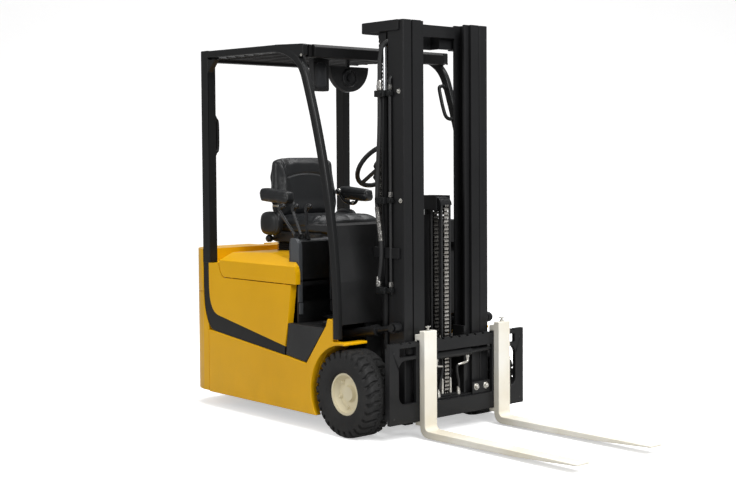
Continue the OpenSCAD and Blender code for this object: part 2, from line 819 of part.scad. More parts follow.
module mast_hoses() {
    y = mast_y + bow_t + 12;
    color(rubber) {
        bar([16, -y, 760], [16, -y, mast_h - 120], 11);
        for (z = [745, mast_h - 805, mast_h - 272])
            box([2, -y - 13, z], [mast_back + 6, -mast_y, z + 34]);
    }
}

module chain_run(x, y, z0, z1, w = 16) {
    box([x - 7, y - w / 2, z0], [x + 7, y + w / 2, z1]);
}

module chain_rear_runs() {
    color(steel) both() chain_run(lift_x - chain_r, -lift_y, 985, sheave_z);
}

module chain_front_runs() {
    color(steel) both() chain_run(lift_x + chain_r, -lift_y, 360, sheave_z);
}

// Half of a chain ring over a sheave, with the sheave.
module sheave(x, y, z, r, w, chain = true) {
    round_y(x, z, r - 7, y - w / 2, y + w / 2);
    if (chain) difference() {
        round_y(x, z, r + 7, y - w / 2, y + w / 2);
        round_y(x, z, r - 7.2, y - w, y + w);
        box([x - 2 * r, y - w, z - 2 * r], [x + 2 * r, y + w, z]);
    }
}

module middle_rails() {
    c = mid_y - rail_w / 2;
    t = web_t / 2;
    color(black) {
        both() {
            translate([0, 0, mast_z + 6]) linear_extrude(mast_h - mast_z - 6) polygon([[mast_back, -mid_y],
                [mast_back + flange_t, -mid_y], [mast_back + flange_t, -c - t], [mast_x - flange_t, -c - t],
                [mast_x - flange_t, -mid_y], [mast_x, -mid_y], [mast_x, -mid_in],
                [mast_x - flange_t, -mid_in],
                [mast_x - flange_t, t - c], [mast_back + flange_t, t - c], [mast_back + flange_t, -mid_in],
                [mast_back, -mid_in]]);
            // guide rollers running in the outer rails
            round_y(roller_x, mast_z + 90, 14, 6 - mast_y + web_t, -c - t);
            round_y(roller_x, mast_z + 90, rail_d / 2 - flange_t - 0.5, web_t + 3 - mast_y,
                rail_w - 6 - mast_y);
        }
    }
}

module middle_heads() {
    low = sheave_z - 48;
    top = mast_h - 30;
    // the tie bows behind the free lift barrel
    color(grey) box([free_x - free_r - 32, -80, low], [free_x - free_r - 10, 80, top]);
    color(grey) both() {
        box([free_x - free_r - 32, -80, low], [mast_back, -64, top]);
        box([mast_back - 20, -mid_y, low], [mast_back, -64, top]);
        box([lift_x - 22, -mast_y + 9, low], [mast_back - 20, -200, low + 8]);
        for (y = [-lift_y - 17, -lift_y + 11]) box([lift_x - 22, y, sheave_z - 40],
            [lift_x + 22, y + 6, sheave_z + 20]);
        round_y(lift_x, sheave_z, 8, -lift_y - 17, 17 - lift_y);
        sheave(lift_x, -lift_y, sheave_z, chain_r, 20);
    }
}

module lift_rods() {
    color(steel) both() translate([lift_x, -lift_y, lift_base + 25])
        cylinder(r = lift_rod_r, h = sheave_z - 48 - lift_base - 25);
}

module inner_rails() {
    color(black) {
        both() {
            channel(inner_back, inner_front, -inner_out, -inner_in, 12, 12, mast_z + 100, mast_h);
            // guide roller below the rail, running in the middle rail
            round_y(roller_x, mast_z + 52, rail_d / 2 - flange_t - 0.5, -inner_out, -mid_in - 4);
            box([inner_back + 20, -mid_in - 4, mast_z + 20], [inner_front - 20, -inner_in, mast_z + 90]);
            box([inner_back + 20, -inner_out, mast_z + 80],
                [inner_front - 20, -inner_in - 24, mast_z + 110]);
            // chain anchor behind the rails
            box([mast_back - 22, -lift_y - 12, 338], [mast_back - 5, -mid_in + 4, 360]);
            box([mast_back - 22, -mid_in + 4, 300], [inner_back + 12, -inner_in, 360]);
        }
    }
}

module inner_ties() {
    color(black) {
        // lower tie with the foot of the free lift barrel, upper tie
        box([inner_back + 20, -inner_in, mast_z + 20], [inner_back + 38, inner_in, mast_z + 76]);
        box([free_x - 40, -44, mast_z + 70], [inner_back + 22, 44, mast_z + 95]);
        box([inner_back, -inner_in, mast_h - 70], [inner_back + 16, inner_in, mast_h - 8]);
    }
}

module free_lift_barrel() {
    color(black) {
        difference() {
            translate([free_x, 0, mast_z + 95]) cylinder(r = free_r, h = head_z - 200 - mast_z);
            translate([free_x, 0, mast_z + 115]) cylinder(r = 24.3, h = head_z);
        }
        // anchor of the chain's rear run
        box([free_x + free_r - 8, -38, 380], [head_axis_x - head_r + 8, 38, 420]);
    }
}

module head_rear_runs() {
    color(steel) {
        chain_run(head_axis_x - head_r, 0, 420, head_axis_z, 30);
        for (y = [-30, 30]) translate([head_axis_x - head_r, y, 420])
            cylinder(r = 7, h = head_axis_z - 420);
    }
}

module head_front_runs() {
    color(steel) {
        chain_run(head_axis_x + head_r, 0, 200, head_axis_z, 30);
        for (y = [-30, 30]) translate([head_axis_x + head_r, y, 200])
            cylinder(r = 7, h = head_axis_z - 200);
    }
}

module free_lift_head() {
    color(black) {
        translate([free_x, 0, mast_z + 120]) cylinder(r = 24, h = head_z - 150 - mast_z);
        box([free_x - 34, -52, head_z - 70], [free_x + 34, 52, head_z]);
        for (y = [-52, 44]) box([free_x, y, head_axis_z - 22], [head_axis_x + 20, y + 8, head_z]);
        round_y(head_axis_x, head_axis_z, 10, -52, 52);
        sheave(head_axis_x, 0, head_axis_z, head_r, 80);
    }
}

module carriage_frame() {
    z1 = carriage_top - 29;
    color(black) {
        both() {
            box([inner_back + 24, -inner_in + 16, carriage_z + 60],
                [bar_back + 1, -inner_in + 34, carriage_top + 40]);
            for (z = [carriage_z + 110, carriage_top - 10]) {
                round_y(roller_x, z, 12, -inner_in + 7, -inner_in + 17);
                round_y(roller_x, z, (inner_front - inner_back) / 2 - 12.5, -inner_in - 20, -inner_in + 8);
            }
            // bearing strips of the side shifter
            box([bar_front - 1, -300, z1 - 24], [shift_back - 0.3, -60, z1 - 4]);
            box([bar_front - 1, -300, carriage_z + 40], [shift_back - 0.3, -60, carriage_z + 60]);
        }
        box([bar_back, -305, z1 - 38], [bar_front, 305, z1]);
        box([bar_back, -305, carriage_z + 30], [bar_front, 305, carriage_z + 96]);
        // anchor of the lift chain
        box([head_axis_x + head_r - 10, -60, 176], [bar_back + 1, 60, 200]);
        both() box([head_axis_x + head_r - 10, -118, 176], [bar_back + 1, -58, 190]);
    }
}

// The fork carriage's plate seen from the front: y across, z up.
module shift_outline() {
    w = carriage_w / 2;
    low = carriage_z + 100;
    bar_z = carriage_top - 92;
    difference() {
        translate([-w, carriage_z]) square([2 * w, carriage_top - carriage_z]);
        translate([-shift_open, carriage_z + 88]) square([2 * shift_open, carriage_top - carriage_z - 156]);
        // an end window with its outer corners rounded, and a shallow one above it
        for (s = [-1, 1]) scale([s, 1]) {
            translate([w - 185, low]) square([75, bar_z - low]);
            translate([w - 111, low + 45]) square([46, bar_z - low - 90]);
            for (z = [low + 45, bar_z - 45]) translate([w - 110, z]) circle(45);
            translate([w - 185, bar_z + 18]) square([115, 46]);
        }
        // latch notches
        for (y = [-420:60:420]) translate([y - 7, carriage_top - 9]) square([14, 10]);
    }
}

module shift_frame() {
    w = carriage_w / 2;
    color(black) translate([0, shift_y, 0]) {
        translate([shift_back, 0, 0]) rotate([90, 0, 90])
            linear_extrude(shift_front - shift_back) shift_outline();
        both() box([shift_back - 14, -w, carriage_z + 20], [shift_back + 1, 14 - w, carriage_top - 24]);
    }
}

module shift_rod() {
    color(steel) round_y(shift_c[0], shift_c[1], 11, shift_y - shift_open, shift_y + shift_open);
}

module shift_barrel() {
    color(black) difference() {
        union() {
            round_y(shift_c[0], shift_c[1], 20, -140, 140);
            for (y = [-140, 122]) round_y(shift_c[0], shift_c[1], 21, y, y + 18);
            box([bar_back, -70, shift_c[1] + 10], [bar_front, 70, carriage_top - 67]);
        }
        round_y(shift_c[0], shift_c[1], 11.3, -141, 141);
    }
}

module fork_profile() {
    z = fork_gap;
    top = z + fork_t;
    hook = shift_back - 12;
    tip = load_distance + fork_l;
    polygon(concat(
        bow([load_distance + 20, z], [shank_x + 2, z + 2], [shank_x, z + 58], 6),
        // lower hook behind the carriage
        [[hook, z + 58], [hook, carriage_z + 12], [shift_back - 1, carriage_z + 12],
            [shift_back - 1, carriage_z - 1], [shank_x, carriage_z - 1]],
        // upper hook over it
        [[shank_x, carriage_top + 1], [shift_back - 1, carriage_top + 1],
            [shift_back - 1, carriage_top - 14], [hook, carriage_top - 14], [hook, carriage_top + 30],
            [shank_x, carriage_top + 36]],
        [[shank_x, shank_z], [load_distance, shank_z], [load_distance, top + 30]],
        bow([load_distance, top + 24], [load_distance + 2, top + 2], [load_distance + 26, top], 6),
        [[tip, top], [tip, top - 10], [tip - 380, z + 8], [load_distance + 60, z]]));
}

module fork(y) {
    across(y - fork_w / 2, y + fork_w / 2) fork_profile();
}

module fork_right() {
    color(cream) fork(-right_fork_y);
}

module fork_left() {
    color(cream) fork(left_fork_y);
}

place() chassis_frame();
place() chassis_sides();
place() fenders();
place() battery_wall();
place() counterweight();
place() battery();
place() side_panels();
place() side_bands();
place() steps();
place() floor_plate();
place() front_cowl();
place() lever_console();
place() control_levers();
place() guard_legs();
place() guard_pillars();
place() guard_rails();
place() guard_roof();
place() work_lamp();
place() rear_mirror();
place() grab_handles();
place() drive_axle();
place() hood();
place() seat_base();
place() seat_cushion();
place() seat_back();
place() armrests();
place() steering_wheel();
place() tyre_right();
place() rim_right();
place() tyre_left();
place() rim_left();
place() steer_turret();
place() rear_tyres();
place() rear_rims();
place() tilt_barrels();
place() tilt_rods();
place() outer_rails();
place() outer_ties();
place() tie_arms();
place() mast_brackets();
place() lift_barrels();
place() mast_hoses();
place() chain_rear_runs();
place() middle_rails();
place() middle_heads();
place() lift_rods();
place() inner_rails();
place() inner_ties();
place() free_lift_barrel();
place() head_rear_runs();
place() chain_front_runs();
place() free_lift_head();
place() carriage_frame();
place() head_front_runs();
place() shift_frame();
place() shift_rod();
place() shift_barrel();
place() fork_right();
place() fork_left();
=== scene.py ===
import math
import bmesh
import bpy
import numpy as np
from mathutils import Matrix, Vector


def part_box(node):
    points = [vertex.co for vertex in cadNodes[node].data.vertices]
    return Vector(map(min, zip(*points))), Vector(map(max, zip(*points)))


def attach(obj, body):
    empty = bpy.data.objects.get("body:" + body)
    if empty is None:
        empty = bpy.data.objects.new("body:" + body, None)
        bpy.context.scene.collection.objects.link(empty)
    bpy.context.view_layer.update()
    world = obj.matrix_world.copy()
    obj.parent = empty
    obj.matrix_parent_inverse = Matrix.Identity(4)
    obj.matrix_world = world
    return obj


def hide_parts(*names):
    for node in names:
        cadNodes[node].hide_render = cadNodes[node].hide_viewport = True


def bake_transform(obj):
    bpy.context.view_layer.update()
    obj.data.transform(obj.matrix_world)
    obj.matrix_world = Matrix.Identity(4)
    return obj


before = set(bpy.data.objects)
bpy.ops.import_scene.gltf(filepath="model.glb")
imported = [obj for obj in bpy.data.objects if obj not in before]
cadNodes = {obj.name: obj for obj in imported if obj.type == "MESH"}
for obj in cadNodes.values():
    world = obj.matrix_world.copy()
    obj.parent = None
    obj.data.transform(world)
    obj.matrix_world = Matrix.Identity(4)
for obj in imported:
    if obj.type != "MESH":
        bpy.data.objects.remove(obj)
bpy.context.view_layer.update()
print("frame loaded:", len(cadNodes), "nodes")


def boxOf(node):
    return tuple(np.array(corner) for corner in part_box(node))


wheelLow, wheelHigh = boxOf("tyre_right")
axleX = (wheelLow[0] + wheelHigh[0]) / 2      # the front axle, from which the drawing measures
scene = bpy.context.scene
scene.view_settings.view_transform = "Standard"


def at(x, y, z):
    # millimetres from the front axle to metres in the frame
    return np.array([x / 1000 + axleX, y / 1000, z / 1000])


def path(points):
    return np.array([at(*p) for p in points])


# camera: the photograph's place, solved from wheel, mast and guard corners
cameraView = {"place": (5070, -4782, 1438), "azimuth": 48.85, "elevation": 2.43, "roll": -0.379,
              "lens": 63.01, "sensor": 36, "shiftY": -0.0408, "reach": 200}


def makeCamera():
    az, el, roll = (math.radians(cameraView[k]) for k in ("azimuth", "elevation", "roll"))
    back = Vector((math.sin(az) * math.cos(el), -math.cos(az) * math.cos(el), math.sin(el)))
    right = Vector((0, 0, 1)).cross(back).normalized()
    up = back.cross(right)
    turnedRight = right * math.cos(roll) + up * math.sin(roll)
    turnedUp = up * math.cos(roll) - right * math.sin(roll)
    data = bpy.data.cameras.new("photoCamera")
    data.lens = cameraView["lens"]
    data.sensor_width = cameraView["sensor"]
    data.shift_y = cameraView["shiftY"]
    data.clip_end = cameraView["reach"]
    camera = bpy.data.objects.new("photoCamera", data)
    turn = Matrix((turnedRight, turnedUp, back)).transposed().to_4x4()
    camera.matrix_world = Matrix.Translation(Vector(at(*cameraView["place"]))) @ turn
    scene.collection.objects.link(camera)
    scene.camera = camera


makeCamera()
print("camera set")


# shader groups shared by the finishes
def plug(tree, made, key, value):
    # a socket is linked to the input, any other value is set on it
    if isinstance(value, bpy.types.NodeSocket):
        tree.links.new(value, made.inputs[key])
    else:
        made.inputs[key].default_value = value


def addNode(tree, kind, *inputs, **values):
    made = tree.nodes.new("ShaderNode" + kind)
    for key, value in values.items():
        if hasattr(made, key):
            setattr(made, key, value)
        else:
            plug(tree, made, key.replace("_", " "), value)
    for place, value in enumerate(inputs):
        plug(tree, made, place, value)
    return made


def compute(tree, operation, *inputs):
    return addNode(tree, "Math", *inputs, operation=operation).outputs[0]


def ownPlace(tree):
    return addNode(tree, "TexCoord").outputs["Object"]


def noiseOn(tree, place, **values):
    return addNode(tree, "TexNoise", Vector=place, **values).outputs["Fac"]


def spread(tree, source, low, high, to0=0.0, to1=1.0):
    # a value between low and high becomes one between to0 and to1
    made = addNode(tree, "MapRange", Value=source, From_Min=low, From_Max=high, To_Min=to0, To_Max=to1)
    return made.outputs["Result"]


def startGroup(name, outputs, **inputs):
    group = bpy.data.node_groups.new(name, "ShaderNodeTree")
    kind = "NodeSocketFloat"
    for label, value in inputs.items():
        group.interface.new_socket(label, in_out="INPUT", socket_type=kind).default_value = value
    for label in outputs:
        group.interface.new_socket(label, in_out="OUTPUT", socket_type=kind)
    return group, group.nodes.new("NodeGroupInput").outputs, group.nodes.new("NodeGroupOutput")


def makeCloudGroup():
    # slow blotches: noise on the piece's own coordinates, stretched to the whole range
    group, given, end = startGroup("softClouds", ["Mask"], Scale=3.0, Detail=4.0)
    noise = noiseOn(group, ownPlace(group), Scale=given["Scale"], Detail=given["Detail"])
    plug(group, end, "Mask", spread(group, noise, 0.35, 0.65))
    return group


def makeFloorDustGroup():
    # dust thins out with height: one at the floor, none above Height, broken up by noise
    group, given, end = startGroup("floorDust", ["Mask"], Height=0.5, Scale=9.0)
    place = ownPlace(group)
    height = addNode(group, "SeparateXYZ", place).outputs["Z"]
    fall = spread(group, compute(group, "DIVIDE", height, given["Height"]), 0.0, 1.0, 1.0, 0.0)
    broken = spread(group, noiseOn(group, place, Scale=given["Scale"], Detail=6.0), 0.38, 0.68)
    plug(group, end, "Mask", compute(group, "MULTIPLY", fall, broken))
    return group


def makeScuffGroup():
    # fine rubs: noise stretched along one axis, of which only the crests count
    group, given, end = startGroup("fineScuffs", ["Mask"], Scale=40.0, Stretch=8.0, Amount=0.3)
    split = addNode(group, "SeparateXYZ", ownPlace(group)).outputs
    squeezed = compute(group, "DIVIDE", split["Z"], given["Stretch"])
    place = addNode(group, "CombineXYZ", split["X"], split["Y"], squeezed).outputs[0]
    noise = noiseOn(group, place, Scale=given["Scale"], Detail=8.0, Roughness=0.65)
    plug(group, end, "Mask", compute(group, "MULTIPLY", spread(group, noise, 0.62, 0.74), given["Amount"]))
    return group


def makeGrainGroup():
    # pebbled grain: distance from a cell's edge, with finer pores on it, and a mask of its creases for painted shade
    group, given, end = startGroup("pebbleGrain", ["Height", "CreaseShade"], Scale=420.0, Pores=0.35)
    place = ownPlace(group)
    cells = addNode(group, "TexVoronoi", feature="DISTANCE_TO_EDGE", Vector=place, Scale=given["Scale"])
    edge = cells.outputs["Distance"]
    fine = noiseOn(group, place, Scale=1900.0, Detail=3.0)
    pores = compute(group, "MULTIPLY", fine, given["Pores"])
    plug(group, end, "Height", compute(group, "ADD", spread(group, edge, 0.0, 0.16), pores))
    plug(group, end, "CreaseShade", spread(group, edge, 0.0, 0.07, 1.0, 0.0))
    return group


cloudGroup = makeCloudGroup()
dustGroup = makeFloorDustGroup()
scuffGroup = makeScuffGroup()
grainGroup = makeGrainGroup()
mixSockets = {"factor": 0, "first": 6, "second": 7, "result": 2}


def useGroup(tree, group, **values):
    made = tree.nodes.new("ShaderNodeGroup")
    made.node_tree = group
    for key, value in values.items():
        plug(tree, made, key, value)
    return made.outputs


def blendColours(tree, factor, first, second):
    # each of the two may be a socket or a plain colour
    made = addNode(tree, "Mix", data_type="RGBA")
    for key, value in (("factor", factor), ("first", first), ("second", second)):
        plug(tree, made, mixSockets[key], (*value, 1) if isinstance(value, tuple) else value)
    return made.outputs[mixSockets["result"]]


def addBump(tree, shader, height, strength, distance):
    bump = addNode(tree, "Bump", Strength=strength, Distance=distance, Height=height)
    plug(tree, shader, "Normal", bump.outputs["Normal"])


def startMaterial(name, **shaderValues):
    mat = bpy.data.materials.new(name)
    mat.use_nodes = True
    tree = mat.node_tree
    tree.nodes.clear()
    shader = addNode(tree, "BsdfPrincipled", **shaderValues)
    addNode(tree, "OutputMaterial", shader.outputs[0])
    return mat, tree, shader


# sprayed finishes: colour, its darker blotches, gloss, dust and the texture of the coat
paintLooks = {
    "yellowPaint": {"colour": (0.82, 0.435, 0.003), "dark": (0.76, 0.395, 0.002),
                    "rough": (0.28, 0.36), "coat": 0.12, "dust": (0.38, 0.225, 0.02), "dustHeight": 0.42,
                    "peel": 0.035, "peelScale": 520.0},
    "blackPaint": {"colour": (0.0098, 0.0103, 0.0106), "dark": (0.0068, 0.0071, 0.0074),
                   "rough": (0.34, 0.46), "coat": 0.1, "dust": (0.022, 0.021, 0.02), "dustHeight": 0.6,
                   "peel": 0.06, "peelScale": 420.0},
    # the roof's black is matte and darker than the black paint: the darker colour is painted shade on its underside
    "roofPaint": {"colour": (0.0036, 0.0036, 0.0038), "dark": (0.0026, 0.0026, 0.0028),
                  "rough": (0.42, 0.54), "coat": 0.0, "dust": (0.008, 0.008, 0.008), "dustHeight": 0.6,
                  "peel": 0.06, "peelScale": 420.0},
    "mastPaint": {"colour": (0.0115, 0.0117, 0.0124), "dark": (0.0076, 0.0078, 0.0083),
                  "rough": (0.36, 0.48), "coat": 0.1, "dust": (0.026, 0.025, 0.023), "dustHeight": 0.6,
                  "peel": 0.07, "peelScale": 380.0},
    "bandPaint": {"colour": (0.016, 0.0155, 0.015), "dark": (0.012, 0.0116, 0.0112),
                  "rough": (0.42, 0.54), "coat": 0.05, "dust": (0.04, 0.037, 0.034), "dustHeight": 0.5,
                  "peel": 0.05, "peelScale": 520.0},
    "creamPaint": {"colour": (0.86, 0.79, 0.58), "dark": (0.78, 0.70, 0.49),
                   "rough": (0.3, 0.42), "coat": 0.3, "dust": (0.28, 0.22, 0.14), "dustHeight": 0.3,
                   "peel": 0.05, "peelScale": 480.0},
    "forkPaint": {"colour": (0.83, 0.81, 0.745), "dark": (0.74, 0.69, 0.57),
                  "rough": (0.34, 0.46), "coat": 0.2, "dust": (0.5, 0.44, 0.33), "dustHeight": 0.25,
                  "peel": 0.06, "peelScale": 300.0},
    "castPaint": {"colour": (0.011, 0.011, 0.0115), "dark": (0.007, 0.007, 0.0073),
                  "rough": (0.5, 0.7), "coat": 0.0, "dust": (0.09, 0.075, 0.055), "dustHeight": 0.5,
                  "peel": 0.25, "peelScale": 160.0},
}


def makePaint(name):
    look = paintLooks[name]
    mat, tree, shader = startMaterial(name, Coat_Weight=look["coat"], Coat_Roughness=0.08, Specular_IOR_Level=0.2)
    clouds = useGroup(tree, cloudGroup, Scale=2.6, Detail=5.0)["Mask"]
    dust = useGroup(tree, dustGroup, Height=look["dustHeight"], Scale=7.0)["Mask"]
    scuffs = useGroup(tree, scuffGroup, Scale=55.0, Stretch=5.0, Amount=0.16)["Mask"]
    shade = blendColours(tree, clouds, look["colour"], look["dark"])
    thinDust = spread(tree, dust, 0.0, 1.0, 0.0, 0.2)
    dusty = blendColours(tree, thinDust, shade, look["dust"])
    plug(tree, shader, "Base Color", blendColours(tree, scuffs, dusty, look["dust"]))
    gloss = spread(tree, clouds, 0.0, 1.0, *look["rough"])
    plug(tree, shader, "Roughness", compute(tree, "MULTIPLY_ADD", thinDust, 0.5, gloss))
    peel = noiseOn(tree, ownPlace(tree), Scale=look["peelScale"], Detail=2.0)
    addBump(tree, shader, peel, look["peel"], 0.002)
    return mat


# moulded finishes: plastics, leather and rubber with their grain, its creases darkened as painted shade
grainLooks = {
    "blackPlastic": {"colour": (0.0068, 0.007, 0.0076), "creaseShade": (0.004, 0.004, 0.0043), "rough": (0.42, 0.56),
                     "scale": 620.0, "bump": 0.22},
    "greyPlastic": {"colour": (0.026, 0.028, 0.0305), "creaseShade": (0.016, 0.0172, 0.0188), "rough": (0.4, 0.54),
                    "scale": 560.0, "bump": 0.2},
    "trimGrey": {"colour": (0.072, 0.077, 0.083), "creaseShade": (0.05, 0.054, 0.058), "rough": (0.36, 0.48),
                 "scale": 560.0, "bump": 0.14},
    "lampGlass": {"colour": (0.03, 0.031, 0.033), "creaseShade": (0.022, 0.023, 0.025), "rough": (0.08, 0.14),
                  "scale": 260.0, "bump": 0.1},
    "stepPlastic": {"colour": (0.0145, 0.0148, 0.0156), "creaseShade": (0.009, 0.009, 0.0095), "rough": (0.46, 0.6),
                    "scale": 480.0, "bump": 0.3},
    "seatLeather": {"colour": (0.0125, 0.0136, 0.015), "creaseShade": (0.008, 0.0084, 0.009), "rough": (0.32, 0.42),
                    "scale": 420.0, "bump": 0.1},
    "tyreRubber": {"colour": (0.009, 0.0089, 0.009), "creaseShade": (0.006, 0.006, 0.006), "rough": (0.62, 0.8),
                   "scale": 240.0, "bump": 0.25},
    "glossPlastic": {"colour": (0.011, 0.0115, 0.0125), "creaseShade": (0.009, 0.009, 0.01), "rough": (0.2, 0.32),
                     "scale": 700.0, "bump": 0.04},
    "hoseRubber": {"colour": (0.012, 0.012, 0.0125), "creaseShade": (0.007, 0.007, 0.007), "rough": (0.4, 0.56),
                   "scale": 700.0, "bump": 0.15},
}
grainDust = (0.05, 0.045, 0.038)


def makeGrain(name):
    look = grainLooks[name]
    mat, tree, shader = startMaterial(name, Specular_IOR_Level=0.4)
    grain = useGroup(tree, grainGroup, Scale=look["scale"])
    clouds = useGroup(tree, cloudGroup, Scale=5.0, Detail=4.0)["Mask"]
    dust = useGroup(tree, dustGroup, Height=0.3, Scale=14.0)["Mask"]
    # painted shade: the colour darkens in the grain's creases
    creased = blendColours(tree, grain["CreaseShade"], look["colour"], look["creaseShade"])
    thinDust = spread(tree, dust, 0.0, 1.0, 0.0, 0.22)
    plug(tree, shader, "Base Color", blendColours(tree, thinDust, creased, grainDust))
    plug(tree, shader, "Roughness", spread(tree, clouds, 0.0, 1.0, *look["rough"]))
    addBump(tree, shader, grain["Height"], look["bump"], 0.0012)
    return mat


# bare metals: reflectance, its tarnish and the brushing
metalLooks = {
    "hardChrome": {"colour": (0.74, 0.75, 0.77), "dark": (0.60, 0.61, 0.63), "rough": (0.1, 0.2)},
    # waist: how far the painted shade in the plates' waists and on the pins goes towards near-black
    "chainSteel": {"colour": (0.66, 0.64, 0.6), "dark": (0.40, 0.375, 0.34), "rough": (0.28, 0.42), "waist": 0.95},
    # a darker copy of the chain steel: partly oil on the chains, partly painted shade on the runs behind the mast and
    # the lift head
    "oiledChain": {"colour": (0.17, 0.165, 0.155), "dark": (0.06, 0.055, 0.05), "rough": (0.34, 0.5), "waist": 0.9},
    "braidSteel": {"colour": (0.42, 0.41, 0.39), "dark": (0.05, 0.048, 0.045), "rough": (0.34, 0.5), "clouds": 150.0},
    "zincPlate": {"colour": (0.66, 0.65, 0.61), "dark": (0.46, 0.44, 0.40), "rough": (0.26, 0.4)},
    "mirrorFace": {"colour": (0.78, 0.8, 0.82), "dark": (0.72, 0.74, 0.76), "rough": (0.03, 0.06)},
}
# painted shade colour for the waists of the chain plates and for the pins
chainShade = (0.006, 0.006, 0.006)


def makeMetal(name):
    look = metalLooks[name]
    mat, tree, shader = startMaterial(name, Metallic=1.0)
    clouds = useGroup(tree, cloudGroup, Scale=look.get("clouds", 14.0), Detail=6.0)["Mask"]
    scuffs = useGroup(tree, scuffGroup, Scale=140.0, Stretch=12.0, Amount=0.5)["Mask"]
    tarnished = blendColours(tree, clouds, look["colour"], look["dark"])
    if "waist" in look:
        # painted shade: the colour darkens towards near-black in the waists of the plates and on the pins
        waist = addNode(tree, "Attribute", attribute_name="waist").outputs["Fac"]
        tarnished = blendColours(tree, spread(tree, waist, 0.15, 0.6, 0.0, look["waist"]), tarnished, chainShade)
    plug(tree, shader, "Base Color", tarnished)
    plug(tree, shader, "Roughness", spread(tree, clouds, 0.0, 1.0, *look["rough"]))
    addBump(tree, shader, scuffs, 0.08, 0.0006)
    return mat


finishes = {}
for looks, make in ((paintLooks, makePaint), (grainLooks, makeGrain), (metalLooks, makeMetal)):
    for name in looks:
        finishes[name] = make(name)
print("finishes made:", len(finishes))

# which finish each CAD node wears
nodeFinish = {
    "yellowPaint": ("chassis_sides", "fenders", "counterweight", "side_panels", "hood"),
    "bandPaint": ("side_bands",),
    "blackPaint": ("guard_legs", "guard_pillars", "guard_rails", "grab_handles", "chassis_frame"),
    "roofPaint": ("guard_roof",),
    "mastPaint": ("outer_rails", "outer_ties", "tie_arms", "mast_brackets", "lift_barrels", "middle_rails",
                  "middle_heads", "inner_rails", "inner_ties", "free_lift_barrel", "free_lift_head", "carriage_frame",
                  "shift_frame", "shift_barrel", "shift_rod", "tilt_barrels", "tilt_rods"),
    "castPaint": ("drive_axle", "steer_turret", "battery"),
    "blackPlastic": ("battery_wall", "floor_plate", "front_cowl", "control_levers", "work_lamp", "rear_mirror",
                     "seat_base", "steering_wheel"),
    "greyPlastic": ("lever_console",),
    "stepPlastic": ("steps",),
    "seatLeather": ("seat_cushion", "seat_back", "armrests"),
    "tyreRubber": ("tyre_right", "tyre_left", "rear_tyres"),
    "creamPaint": ("rim_right", "rim_left", "rear_rims"),
    "hardChrome": ("lift_rods",),
    "chainSteel": ("chain_rear_runs", "chain_front_runs", "head_rear_runs", "head_front_runs"),
    "hoseRubber": ("mast_hoses",),
    "forkPaint": ("fork_right", "fork_left"),
}
edgeRound = {
    0.014: ("work_lamp",), 0.012: ("hood", "counterweight"), 0.01: ("lever_console",), 0.008: ("front_cowl",),
    0.007: ("guard_legs", "guard_pillars", "guard_rails"), 0.005: ("side_panels", "outer_rails", "middle_rails"),
    0.004: ("chassis_sides", "guard_roof", "fork_right", "fork_left", "steps"),
    0.003: ("inner_rails", "shift_frame", "side_bands", "fenders", "outer_ties", "tie_arms", "battery_wall"),
    0.002: ("carriage_frame",),
}
edgeLook = {"weld": 0.00005, "segments": 3, "angle": 32}


def roundEdges(made, width):
    soften = made.modifiers.new("roundedEdges", "BEVEL")
    soften.width = width
    soften.segments = edgeLook["segments"]
    soften.limit_method = "ANGLE"
    soften.angle_limit = math.radians(edgeLook["angle"])
    soften.use_clamp_overlap = True
    soften.harden_normals = True


def dressNodes():
    for finish, names in nodeFinish.items():
        for name in names:
            materials = cadNodes[name].data.materials
            materials.clear()
            materials.append(finishes[finish])
    for width, names in edgeRound.items():
        for name in names:
            weld = cadNodes[name].modifiers.new("joinedFaces", "WELD")
            weld.merge_threshold = edgeLook["weld"]
            roundEdges(cadNodes[name], width)


dressNodes()
print("CAD nodes dressed")


# shapes are pairs: an array of points and a list of face arrays
origin = (0, 0, 0)
forward, leftward, rightward, upward = (1, 0, 0), (0, 1, 0), (0, -1, 0), (0, 0, 1)


def gridFaces(rows, cols, wrapRows=False, wrapCols=False):
    # quads between neighbouring rows and columns of a grid
    r = np.arange(rows if wrapRows else rows - 1)
    c = np.arange(cols if wrapCols else cols - 1)
    a = (r[:, None] * cols + c).ravel()
    b = (r[:, None] * cols + (c + 1) % cols).ravel()
    d = (((r + 1) % rows)[:, None] * cols + c).ravel()
    e = (((r + 1) % rows)[:, None] * cols + (c + 1) % cols).ravel()
    return np.stack([a, b, e, d], axis=1)


def gridShape(points, wrapRows=False, wrapCols=False):
    return points.reshape(-1, 3), [gridFaces(points.shape[0], points.shape[1], wrapRows, wrapCols)]


def closedGrid(points):
    # rings in rows, joined all round, with a fan over the first and the last
    rows, cols = points.shape[:2]
    ends = points[[0, -1]].mean(axis=1)
    ring = np.arange(cols)
    low = np.stack([np.full(cols, rows * cols), (ring + 1) % cols, ring], axis=1)
    top = np.stack([np.full(cols, rows * cols + 1), ring, (ring + 1) % cols], axis=1)
    top[:, 1:] += (rows - 1) * cols
    return np.concatenate([points.reshape(-1, 3), ends]), [gridFaces(rows, cols, wrapCols=True), low, top]


def mergeShapes(*shapes):
    points, faces, start = [], [], 0
    for p, f in shapes:
        points.append(p)
        faces += [g + start for g in f]
        start += len(p)
    return np.concatenate(points), faces


def repeatShape(shape, places):
    # the shape copied to each place
    points, faces = shape
    places = np.asarray(places, float).reshape(-1, 3)
    shifts = np.arange(len(places)) * len(points)
    return ((points[None] + places[:, None]).reshape(-1, 3),
            [(f[None] + shifts[:, None, None]).reshape(-1, f.shape[1]) for f in faces])


def mirrorShape(shape):
    # the same shape on the other side of the truck, its faces turned round
    points, faces = shape
    return points * np.array([1, -1, 1]), [f[:, ::-1] for f in faces]


